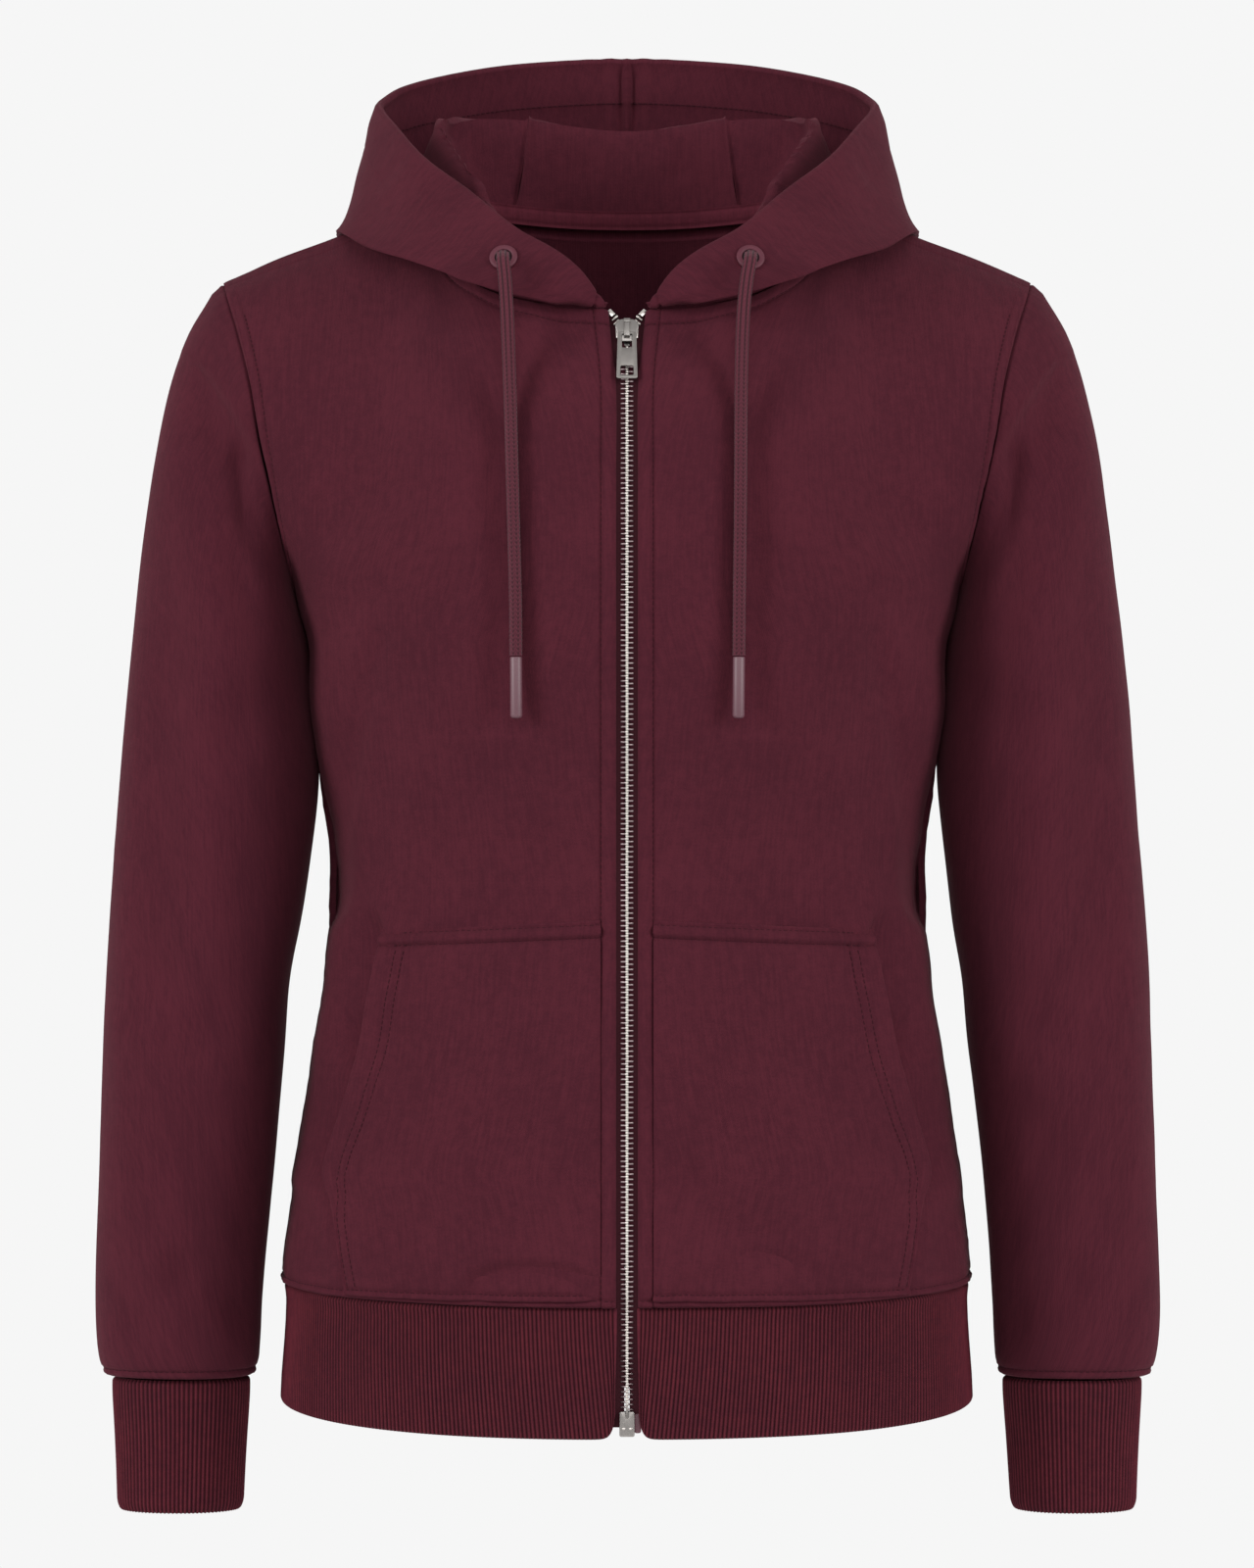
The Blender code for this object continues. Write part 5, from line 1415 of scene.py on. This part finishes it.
def extrude(*move):
    """Draws the chosen faces out, by a move in millimetres."""
    bpy.ops.mesh.extrude_region_move(TRANSFORM_OT_translate={"value": [value * MM for value in move]})


def facing(out):
    """The turn that leans a piece, drawn upright, to face the way out."""
    return Matrix.Rotation(math.atan2(-out[2], -out[1]), 4, "X")


def choose(piece, kind, test):
    """Selects the faces, edges or vertices of the piece in edit mode whose middle passes the test, in mm."""
    bpy.ops.object.mode_set(mode="EDIT")
    bpy.ops.mesh.select_mode(type={"faces": "FACE", "edges": "EDGE", "verts": "VERT"}[kind])
    bpy.ops.mesh.select_all(action="DESELECT")
    shape = bmesh.from_edit_mesh(piece.data)
    for part in getattr(shape, kind):
        corners = [part.co] if kind == "verts" else [v.co for v in part.verts]
        middle = sum(corners, Vector()) / len(corners) / MM
        if test(middle, corners):
            part.select_set(True)
    shape.select_flush_mode()
    bmesh.update_edit_mesh(piece.data)


def add_block(name, size, middle):
    """A block to shape further, its size and middle in millimetres."""
    begin()
    bpy.ops.mesh.primitive_cube_add(size=1)
    piece = bpy.context.object
    piece.name = piece.data.name = name
    bpy.ops.transform.resize(value=[value * MM for value in size])
    bpy.ops.transform.translate(value=[value * MM for value in middle])
    bpy.ops.object.transform_apply(location=True, rotation=False, scale=True)
    return piece


def add_plate(name, outline, front, thick):
    """A plate in the XZ plane, cut to an outline in millimetres. Its front face is at this y."""
    begin()
    bpy.ops.mesh.primitive_circle_add(vertices=len(outline), radius=MM, fill_type="NGON")
    piece = bpy.context.object
    piece.name = piece.data.name = name
    for vert, (x, z) in zip(piece.data.vertices, outline):
        vert.co = Vector((x, front, z)) * MM
    bpy.ops.object.mode_set(mode="EDIT")
    bpy.ops.mesh.select_all(action="SELECT")
    extrude(0, thick, 0)
    bpy.ops.mesh.select_all(action="SELECT")
    bpy.ops.mesh.normals_make_consistent(inside=False)
    bpy.ops.object.mode_set(mode="OBJECT")
    return piece


def soften(piece, width, segments=2, angle=30.0):
    """Rounds every edge that turns more than the angle."""
    step = piece.modifiers.new("rounding", "BEVEL")
    step.width = width * MM
    step.segments = segments
    step.limit_method = "ANGLE"
    step.angle_limit = math.radians(angle)
    step.harden_normals = False
    finish_step(piece, step)
    begin(piece)
    bpy.ops.object.shade_smooth_by_angle(angle=math.radians(35))


def finish_step(piece, step):
    begin(piece)
    bpy.ops.object.modifier_apply(modifier=step.name)


def cut_away(piece, tool):
    step = piece.modifiers.new("cut", "BOOLEAN")
    step.operation = "DIFFERENCE"
    step.object = tool
    finish_step(piece, step)
    bpy.data.objects.remove(tool, do_unlink=True)


def join_pieces(pieces):
    begin()
    for piece in pieces:
        piece.select_set(True)
    bpy.context.view_layer.objects.active = pieces[0]
    bpy.ops.object.join()
    return pieces[0]


def paint(piece, finish):
    piece.data.materials.clear()
    piece.data.materials.append(finish)
    return piece


def seat(piece, place, out):
    """Moves a piece drawn upright about the origin to its place in mm, leaned to face the way out."""
    piece.matrix_world = Matrix.Translation(Vector(place) * MM) @ facing(out)
    begin(piece)
    bpy.ops.object.transform_apply(location=True, rotation=True, scale=True)


def rounded_outline(half_width, low, high, radius, steps=4):
    """A rectangle's outline with rounded corners, anticlockwise."""
    outline = []
    for cx, cz, start in (
        (half_width - radius, high - radius, 0),
        (radius - half_width, high - radius, 90),
        (radius - half_width, low + radius, 180),
        (half_width - radius, low + radius, 270),
    ):
        for step in range(steps + 1):
            angle = math.radians(start + 90 * step / steps)
            outline.append((cx + radius * math.cos(angle), cz + radius * math.sin(angle)))
    return outline


# ---------------------------------------------------------------- the zip
ZIP_DEPTH = 2.8  # from the cloth's face back to the middle of the zip's tapes
ZIP_TOP = -67.0
ZIP_BOTTOM = -632.0
TAPE_INNER_X = 1.3
TAPE_OUTER_X = 13.0
TOOTH_PITCH = 2.55
SLIDER_Z = -78.0
CHAIN_TOP = -85.5
BOX_TOP = -620.0
BOX_LOW = -632.6
OPEN_TEETH = ((5.6, -74.6), (6.5, -72.4))  # beside the slider's crown: the middle of each, x and z
TOP_STOP = (8.1, -69.6)
OPEN_LEAN = 40.0  # degrees that the open teeth turn up from level
TOOTH_REACH = 1.6  # from a tooth's middle to the zip's


def zip_spot(height):
    """The middle of the zip at one height, and the way out of it."""
    (point,), (way,) = zip_spots([height], np.array([ZIP_DEPTH]))
    return point, way


def tape_grid():
    """The right tape from the bottom up; above the slider its inner edge spreads with the placket."""
    heights = np.concatenate([np.linspace(ZIP_BOTTOM + 4, -90, 190), np.linspace(-88, ZIP_TOP, 22)])
    points, _ = zip_spots(heights, np.full_like(heights, ZIP_DEPTH - TAPE / 2))
    inner = TAPE_INNER_X + np.interp(heights, (-84, -76, ZIP_TOP), (0, 2.6, 7.2))
    outer = TAPE_OUTER_X + np.interp(heights, (ZIP_BOTTOM, -616, -105, ZIP_TOP), (-6.4, 0, 0, 3.0))
    share = np.linspace(0, 1, 9)[None, :]
    x = inner[:, None] + (outer - inner)[:, None] * share
    return np.stack(
        [x, np.broadcast_to(points[:, 1:2], x.shape), np.broadcast_to(points[:, 2:3], x.shape)], axis=-1
    )


def add_tapes():
    for side, sign in BOTH_SIDES:
        panel = Panel(tape_grid(), (PLAIN_EDGE,) * 4, 5.0)
        piece = add_shell(f"zip_tape_{side}_woven", panel, TAPE, tape, sign < 0)
        dress(piece, "woven_tape", f"zip_tape_{side}")
        declare_cut(piece, "zip_tape")


def add_tooth():
    """One tooth, to +X of the zip's middle: its jaws grip the tape and its nose meshes at the middle."""
    tooth = add_block("tooth", (2.3, 2.1, 0.9), (2.05, 0, 0))
    choose(tooth, "faces", lambda middle, corners: middle.x < 1.2)
    extrude(-0.4, 0, 0)
    bpy.ops.transform.resize(value=(1, 1.22, 1.4))
    extrude(-1.2, 0, 0)
    bpy.ops.transform.resize(value=(1, 0.96, 0.95))
    choose(tooth, "faces", lambda middle, corners: middle.x > 3.1)
    bpy.ops.transform.resize(value=(1, 0.8, 1.0))
    bpy.ops.object.mode_set(mode="OBJECT")
    soften(tooth, 0.2, 1)
    return tooth


def repeated(name, piece, places, finish):
    """One mesh of copies of a piece, each at its own 4x4 place."""
    corners = np.array([vert.co for vert in piece.data.vertices])
    faces = [tuple(face.vertices) for face in piece.data.polygons]
    points, every = [], []
    for index, place in enumerate(places):
        turn = np.array(place)
        points.append(corners @ turn[:3, :3].T + turn[:3, 3])
        order = slice(None) if place.determinant() > 0 else slice(None, None, -1)
        every += [tuple(i + index * len(corners) for i in face)[order] for face in faces]
    return add_mesh(name, np.concatenate(points) / MM, every, finish, flip=False)


def leaned(place, out, turn=0.0, left=False):
    flip = Matrix.Scale(-1, 4, (1, 0, 0)) if left else Matrix.Identity(4)
    turned = Matrix.Rotation(math.radians(turn), 4, "Y")
    return flip @ Matrix.Translation(Vector(place) * MM) @ facing(out) @ turned


def add_teeth():
    tooth = add_tooth()
    places = []
    for left in (False, True):
        heights = np.arange(BOX_TOP + 0.9 + left * TOOTH_PITCH / 2, CHAIN_TOP, TOOTH_PITCH)
        points, ways = zip_spots(heights, np.full_like(heights, ZIP_DEPTH))
        places += [leaned(point, way, 0, left) for point, way in zip(points, ways)]
        for x, z in OPEN_TEETH:
            point, way = zip_spot(z)
            lean = math.radians(OPEN_LEAN)
            place = (x - TOOTH_REACH * math.cos(lean), point[1], z + TOOTH_REACH * math.sin(lean))
            places.append(leaned(place, way, OPEN_LEAN, left))
    chain = repeated("zip_teeth", tooth, places, teeth_metal)
    bpy.data.objects.remove(tooth, do_unlink=True)
    stop = add_block("top_stop", (2.7, 3.2, 4.2), (0, 0, 0))
    choose(stop, "faces", lambda middle, corners: abs(middle.z) > 2.0)
    bpy.ops.mesh.inset(thickness=0.5 * MM, depth=0.0)
    bpy.ops.transform.resize(value=(1, 1, 0.8))
    bpy.ops.object.mode_set(mode="OBJECT")
    soften(stop, 0.45, 2)
    point, way = zip_spot(TOP_STOP[1])
    seats = [leaned((TOP_STOP[0], point[1], TOP_STOP[1]), way, OPEN_LEAN, left) for left in (False, True)]
    stops = repeated("zip_top_stops", stop, seats, zip_metal)
    bpy.data.objects.remove(stop, do_unlink=True)
    dress(chain, "zip_steel", "zip_chain")
    dress(stops, "zip_steel")


def add_box():
    """The bottom box, with the pin that goes into it and the film that stiffens the tapes' ends."""
    point, way = zip_spot((BOX_TOP + BOX_LOW) / 2)
    half = (BOX_TOP - BOX_LOW) / 2
    box = add_plate("zip_bottom_box", rounded_outline(3.8, -half, half, 1.0), -2.0, 4.0)
    choose(box, "faces", lambda middle, corners: middle.y < -1.9)
    bpy.ops.mesh.inset(thickness=0.7 * MM, depth=0.25 * MM)
    bpy.ops.object.mode_set(mode="OBJECT")
    slot = add_block("slot", (1.5, 1.6, 5.0), (0, -2.0, half - 1.0))
    cut_away(box, slot)
    soften(box, 0.25, 2)
    pin = add_block("pin", (1.0, 1.2, 7.0), (0, -1.4, half - 0.4))
    soften(pin, 0.4, 3)
    dents = []
    for x in (-1.7, 1.7):
        begin()
        bpy.ops.mesh.primitive_uv_sphere_add(
            segments=14, ring_count=8, radius=0.85 * MM, location=(x * MM, -2.1 * MM, -2.2 * MM)
        )
        dent = bpy.context.object
        bpy.ops.transform.resize(value=(1, 0.35, 0.7))
        bpy.ops.object.transform_apply(location=True, rotation=False, scale=True)
        bpy.ops.object.shade_smooth()
        dents.append(dent)
    for part in [box, pin] + dents:
        paint(part, zip_metal if part in dents else slider_metal)
    piece = join_pieces([box, pin] + dents)
    seat(piece, point, way)
    dress(piece, "zip_steel", "zip_box")
    film = add_plate("tape_end_film", rounded_outline(1.75, -4.6, 5.0, 1.1), -0.65, 1.3)
    soften(film, 0.25, 2)
    seat(film, (5.3, point[1], point[2]), way)
    dress(paint(film, tape_film), "woven_tape")


SLIDER_OUTLINE = [
    (-4.3, -6.2), (-2.6, -6.5), (2.6, -6.5), (4.3, -6.2), (4.9, -3.6), (5.1, -1.4), (5.8, 1.4), (6.0, 3.0),
    (5.5, 4.6), (4.3, 5.7), (2.6, 6.2), (-2.6, 6.2), (-4.3, 5.7), (-5.5, 4.6), (-6.0, 3.0), (-5.8, 1.4),
    (-5.1, -1.4), (-4.9, -3.6),
]
PLATE_INNER_Y = 1.55
PLATE_OUTER_Y = 2.65
PULL_HINGE_Y = -3.75
PULL_HINGE_Z = -2.65


def add_slider():
    """Two plates with side flanges, a post between them and a bridge that holds the pull."""
    point, way = zip_spot(SLIDER_Z)
    front = add_plate("zip_slider_body", SLIDER_OUTLINE, -PLATE_OUTER_Y, PLATE_OUTER_Y - PLATE_INNER_Y)
    choose(front, "faces", lambda middle, corners: middle.y < -PLATE_OUTER_Y + 0.1)
    bpy.ops.mesh.inset(thickness=0.8 * MM, depth=0.3 * MM)
    bpy.ops.object.mode_set(mode="OBJECT")
    soften(front, 0.16, 2)
    back = add_plate("slider_back", SLIDER_OUTLINE, PLATE_INNER_Y, PLATE_OUTER_Y - PLATE_INNER_Y)
    soften(back, 0.25, 2)
    parts = [front, back]
    post = add_block("slider_post", (3.0, 2 * PLATE_INNER_Y + 0.4, 3.2), (0, 0, 4.4))
    soften(post, 0.3, 2)
    parts.append(post)
    for sign in (-1, 1):
        for y in (-1, 1):
            flange = add_block("slider_flange", (0.9, 1.0, 6.0), (sign * 5.0, y * 1.35, -1.2))
            choose(flange, "faces", lambda middle, corners: middle.z > 1.7)
            bpy.ops.transform.translate(value=(sign * 0.5 * MM, 0, 1.4 * MM))
            bpy.ops.object.mode_set(mode="OBJECT")
            soften(flange, 0.3, 2)
            parts.append(flange)
    # the bridge is bent from one strip: up from the plate at the crown, along, and back down
    bridge = add_plate(
        "slider_bridge", [(-1.8, 4.0), (1.8, 4.0), (1.8, 5.9), (-1.8, 5.9)], -PLATE_OUTER_Y, 0.4
    )
    for move, spread in (((0, -2.4, -0.3), 0.95), ((0, -1.0, -1.2), 1.0)):
        top_y = min(v.co.y for v in bridge.data.vertices)
        choose(bridge, "faces", lambda middle, corners: max(c.y for c in corners) < top_y + 1e-6)
        extrude(*move)
        bpy.ops.transform.resize(value=(spread, 1, 0.9))
        bpy.ops.object.mode_set(mode="OBJECT")
    soften(bridge, 0.35, 3)
    arm = add_block("slider_arm", (3.3, 1.2, 9.2), (0, -5.5, -0.2))
    for low in (True, False):
        choose(arm, "faces", lambda middle, corners: (middle.z < -4.7) if low else (middle.z > 4.3))
        bpy.ops.transform.resize(value=(0.86, 0.8, 1))
        bpy.ops.transform.translate(value=(0, 0.25 * MM, 0))
        bpy.ops.object.mode_set(mode="OBJECT")
    soften(arm, 0.45, 3)
    foot = add_block("slider_foot", (3.0, 3.4, 1.1), (0, -3.9, -4.3))
    soften(foot, 0.3, 3)
    # painted highlight: the flanges take the brighter nickel, the rest of the one casting the darker nickel
    for part in parts + [bridge, arm, foot]:
        paint(part, zip_metal if "flange" in part.name else slider_metal)
    piece = join_pieces(parts + [bridge, arm, foot])
    seat(piece, point, way)
    dress(piece, "zip_steel", "zip_slider")


PULL_SLOT = (2.5, -8.4, -0.5)  # half width, low and high edge, below the hinge
PULL_WINDOW = (3.3, -24.2, -18.8)


def add_pull():
    point, way = zip_spot(SLIDER_Z)
    outline = rounded_outline(5.3, -26.0, 0.8, 1.1)
    outline = [(x * (1 - 0.12 * max(0.0, (z + 8) / 8.8)), z) for x, z in outline]
    pull = add_plate("zip_pull_tab", outline, -0.6, 1.2)
    for half_width, low, high in (PULL_SLOT, PULL_WINDOW):
        hole = add_plate("hole", rounded_outline(half_width, low, high, 0.6), -3.0, 6.0)
        cut_away(pull, hole)
    soften(pull, 0.28, 3, 40)
    hinge = np.array(point) + np.array(facing(way).to_3x3() @ Vector((0, PULL_HINGE_Y, PULL_HINGE_Z)))
    seat(pull, hinge, way)
    dress(paint(pull, pull_metal), "pull_steel", "zip_pull", body="pull")


add_tapes()
add_teeth()
add_box()
add_slider()
add_pull()


# ---------------------------------------------------------------- drawstring, tips and eyelets
CORD_ROUTES = {
    "left": [
        (-62.4, -94.0, -40.6), (-62.2, -99.4, -44.5), (-61.3, -101.8, -53), (-60.3, -102.4, -68),
        (-59.4, -102.6, -90), (-58.4, -104.8, -118), (-57.4, -111.7, -150), (-56.4, -116.0, -185),
        (-55.6, -118.0, -215), (-55.4, -118.2, -243),
    ],
    "right": [
        (62.4, -94.0, -40.6), (61.8, -99.4, -44.5), (60.2, -101.8, -53), (58.6, -102.4, -68),
        (57.6, -102.6, -90), (57.1, -104.8, -118), (56.8, -111.7, -150), (56.4, -116.0, -185),
        (56.0, -118.0, -215), (55.8, -118.2, -243),
    ],
}
CORD_SIDES = 40
CORD_STEP = 0.45  # mm between the rings of points along a cord
WALE_RELIEF = 0.6
LOOP_RELIEF = 0.4
AGLET_LENGTH = 30.7


def cord_line(side):
    """The cord's centre line, points about CORD_STEP apart."""
    dense = smooth(CORD_ROUTES[side], np.linspace(0, len(CORD_ROUTES[side]) - 1, 2000))
    run = np.concatenate([[0], np.cumsum(np.linalg.norm(np.diff(dense, axis=0), axis=-1))])
    places = np.linspace(0, run[-1], int(run[-1] / CORD_STEP) + 1)
    return np.stack([np.interp(places, run, dense[:, axis]) for axis in range(3)], axis=-1), places


def add_cord(side, tip):
    """A knitted cord: loops in columns along it. It leaves the eyelet flattened and fills out further on."""
    line, run = cord_line(side)
    along = unit(np.gradient(line, axis=0))
    beside = unit(np.array((1.0, 0, 0)) - along * along[:, :1])
    ahead = np.cross(along, beside)
    angles = np.arange(CORD_SIDES) * 2 * np.pi / CORD_SIDES
    wale = (angles * CORD_WALES / (2 * np.pi)) % 1.0
    arch = np.abs(np.sin(wale * np.pi)) ** 0.7
    slant = np.abs(wale - 0.5) * 2.0
    loops = 0.5 + 0.5 * np.cos((run[:, None] / LOOP_PITCH + slant[None] * 0.8) * 2 * np.pi)
    fill = np.clip((run - 40) / 60, 0, 1)[:, None]
    radius = CORD_DIAMETER / 2 - WALE_RELIEF - LOOP_RELIEF + 0.25
    upright = WALE_RELIEF * arch[None] * (1.25 - 0.5 * fill)
    height = radius + upright + LOOP_RELIEF * loops * (0.5 + 0.7 * fill)
    wide, deep = 1.07 - 0.05 * fill, 0.82 + 0.16 * fill
    x = height * np.cos(angles)[None] * wide
    y = height * np.sin(angles)[None] * deep
    rings = line[:, None] + beside[:, None] * x[..., None] + ahead[:, None] * y[..., None]
    count = CORD_SIDES
    ids = np.arange(len(line) * count).reshape(len(line), count)
    after = np.roll(ids, -1, axis=1)
    faces = np.stack([ids[:-1], after[:-1], after[1:], ids[1:]], axis=-1).reshape(-1, 4).tolist()
    faces += [ids[0].tolist(), ids[-1].tolist()]
    turn_u = (np.arange(count + 1) / count * CORD_WALES + 0.5) * CORD_DIAMETER * math.pi / CORD_WALES
    low = [np.stack([turn_u[:-1], np.full(count, r)], -1) for r in run]
    high = [np.stack([turn_u[1:], np.full(count, r)], -1) for r in run]
    uvs = [
        np.stack([low[i], high[i], high[i + 1], low[i + 1]], axis=1).reshape(-1, 2)
        for i in range(len(line) - 1)
    ]
    uvs += [np.zeros((count, 2)), np.zeros((count, 2))]
    cord = add_mesh(f"drawstring_{side}", rings.reshape(-1, 3), faces, cord_knit, uvs)
    dress(cord, "braided_cord", f"cord_{side}")
    path = (line[::6] * MM).tolist() + [(line[-1] * MM).tolist()]
    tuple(path[0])


def add_tip(side):
    """The moulded tip: a sleeve over the cord's end, rounded off at the bottom."""
    begin()
    bpy.ops.mesh.primitive_cylinder_add(vertices=32, radius=3.0 * MM, depth=(AGLET_LENGTH - 2.2) * MM)
    tip = bpy.context.object
    tip.name = tip.data.name = f"cord_tip_{side}"
    half = (AGLET_LENGTH - 2.2) / 2
    choose(tip, "faces", lambda middle, corners: middle.z > half - 0.1)
    extrude(0, 0, 0.6)
    bpy.ops.transform.resize(value=(0.93, 0.93, 1))
    bpy.ops.mesh.inset(thickness=0.45 * MM, depth=-0.5 * MM)
    choose(tip, "faces", lambda middle, corners: middle.z < 0.1 - half)
    for drop, scale in ((0.7, 0.93), (0.55, 0.82), (0.3, 0.6)):
        extrude(0, 0, -drop)
        bpy.ops.transform.resize(value=(scale, scale, 1))
    bpy.ops.object.mode_set(mode="OBJECT")
    soften(tip, 0.2, 2, 40)
    bpy.ops.object.shade_smooth()
    line, _ = cord_line(side)
    down = Vector(line[-1] - line[-2]).normalized()
    middle = Vector(line[-1]) + down * (AGLET_LENGTH / 2 + 0.1)
    turn = Vector((0, 0, -1)).rotation_difference(down).to_matrix().to_4x4()
    tip.matrix_world = Matrix.Translation(middle * MM) @ turn
    bpy.ops.object.transform_apply(location=True, rotation=True, scale=True)
    return dress(paint(tip, tip_moulding), "moulded_tip", f"aglet_{side}")


EYELET_STATION = 3.15
EYELET_SHARE = 0.89
EYELET_RADIUS = 5.75
EYELET_ROLL = 1.45
EYELET_FLATNESS = 0.62
EYELET_BARREL = 1.3  # how far its inner side is drawn down through the cloth
EYELET_RISE = 0.75
INSIDE_RISE = 1.0
INSIDE_DISH = 0.5


def eyelet_seat():
    """The middle of the right eyelet on the hood's face, and the direction out of the cloth."""
    step = 0.004
    grid = hood_grid(
        lambda share: (EYELET_STATION - step, EYELET_STATION + step),
        np.array((EYELET_SHARE - step, EYELET_SHARE, EYELET_SHARE + step)),
        2,
    )
    return grid[1, 1], normals(grid)[1, 1]


def add_eyelets():
    middle, out = eyelet_seat()
    for side, sign in BOTH_SIDES:
        begin()
        bpy.ops.mesh.primitive_torus_add(
            major_segments=56,
            minor_segments=14,
            major_radius=EYELET_RADIUS * MM,
            minor_radius=EYELET_ROLL * MM,
        )
        ring = bpy.context.object
        ring.name = ring.data.name = f"eyelet_ring_{side}"
        bpy.ops.transform.resize(value=(1, 1, EYELET_FLATNESS))
        bpy.ops.object.transform_apply(location=False, rotation=False, scale=True)
        # the barrel: the inner side is drawn down through the cloth
        choose(ring, "verts", lambda at, corners: math.hypot(at.x, at.y) < EYELET_RADIUS - 0.4 and at.z < 0.3)
        bpy.ops.transform.translate(value=(0, 0, -EYELET_BARREL * MM))
        bpy.ops.object.mode_set(mode="OBJECT")
        bpy.ops.object.shade_smooth()
        place, way = Vector(middle * (sign, 1, 1)), Vector(out * (sign, 1, 1))
        turn = Vector((0, 0, 1)).rotation_difference(way).to_matrix().to_4x4()
        ring.matrix_world = Matrix.Translation((place + way * EYELET_RISE) * MM) @ turn
        bpy.ops.object.transform_apply(location=True, rotation=True, scale=True)
        dress(paint(ring, eyelet_paint), "painted_eyelet", f"eyelet_{side}")
        # painted shade: a dark disc inside the ring stands for the shade in the eyelet's hole, where the cord
        # goes in
        begin()
        bpy.ops.mesh.primitive_circle_add(vertices=40, radius=(EYELET_RADIUS - 0.9) * MM, fill_type="TRIFAN")
        inside = bpy.context.object
        inside.name = inside.data.name = f"eyelet_painted_shade_disc_{side}"
        choose(inside, "verts", lambda at, corners: math.hypot(at.x, at.y) < 0.1)
        bpy.ops.transform.translate(value=(0, 0, -INSIDE_DISH * MM))
        bpy.ops.object.mode_set(mode="OBJECT")
        inside.matrix_world = Matrix.Translation((place + way * INSIDE_RISE) * MM) @ turn
        bpy.ops.object.transform_apply(location=True, rotation=True, scale=True)
        dress(paint(inside, hole_shade_finish), "sweatshirt_knit")


NECK_TAPE_STATION = 8.8
NECK_TAPE_RISES = (-4.5, 5.5)
NECK_TAPE_INSET = 3.4


def add_neck_tape():
    """The tape over the back neck seam, from one shoulder to the other, stitched along both edges."""
    places = np.linspace(LAST_STATION, NECK_TAPE_STATION, 60)
    line = neck_seam(places)
    along = neck_seam(places - 0.05) - neck_seam(places + 0.05)
    inward = unit(np.stack([along[:, 1], -along[:, 0], 0 * places], axis=-1))
    rises = np.linspace(*NECK_TAPE_RISES, 9)
    half = np.array([line + inward * NECK_TAPE_INSET + np.array((0, 0, rise)) for rise in rises])
    whole = np.concatenate([mirrored(half)[:, :0:-1], half], axis=1)
    edge = Seam((1.4,), 0.2, 0.2)
    panel = Panel(whole, (PLAIN_EDGE, PLAIN_EDGE, edge, edge), 2.5)
    piece = dress(add_shell("neck_binding", panel, -TAPE, neck_binding), "woven_tape", "neck_tape")
    declare_cut(
        piece, "neck_binding", [add_topstitch("neck_binding_stitches", panel, (2, 3))]
    )


for side, sign in BOTH_SIDES:
    add_cord(side, add_tip(side))
add_eyelets()
add_neck_tape()


# ---------------------------------------------------------------- light
def add_light(name, size, power, place, aim, colour=(1, 1, 1)):
    data = bpy.data.lights.new(name, "AREA")
    data.shape = "RECTANGLE"
    data.size, data.size_y = size
    data.energy = power
    data.color = colour
    lamp = bpy.data.objects.new(name, data)
    lamp.location = place
    lamp.rotation_euler = (Vector(aim) - Vector(place)).to_track_quat("-Z", "Y").to_euler()
    bpy.context.scene.collection.objects.link(lamp)


def add_stage():
    angles = np.linspace(0, 2 * math.pi, 96, endpoint=False)
    points = [(math.cos(a) * FLOOR_RADIUS, math.sin(a) * FLOOR_RADIUS, FLOOR_HEIGHT) for a in angles]
    mesh = bpy.data.meshes.new("studio_floor")
    mesh.from_pydata(points, [], [tuple(range(len(points)))])
    floor = bpy.data.objects.new("studio_floor", mesh)
    finish, _, shader = new_finish("pale_floor_paint", roughness=0.8)
    shader.inputs["Base Color"].default_value = colour_of("#F2F2F2")
    mesh.materials.append(finish)
    bpy.context.scene.collection.objects.link(floor)
    world = bpy.data.worlds.new("studio")
    world.use_nodes = True
    world.node_tree.nodes["Background"].inputs["Color"].default_value = colour_of("#F6F6F6")
    world.node_tree.nodes["Background"].inputs["Strength"].default_value = 1.0
    bpy.context.scene.world = world
    bpy.context.scene.view_settings.view_transform = "Standard"


add_stage()
add_light("left_box", (1.0, 1.6), 94, (-2.5, -1.35, 0.5), (0, 0, -0.25))
add_light("right_box", (1.0, 1.6), 80, (2.5, -1.35, 0.4), (0, 0, -0.25))
add_light("front_box", (1.6, 1.6), 30, (0.1, -2.5, 0.9), (0, 0, -0.2))
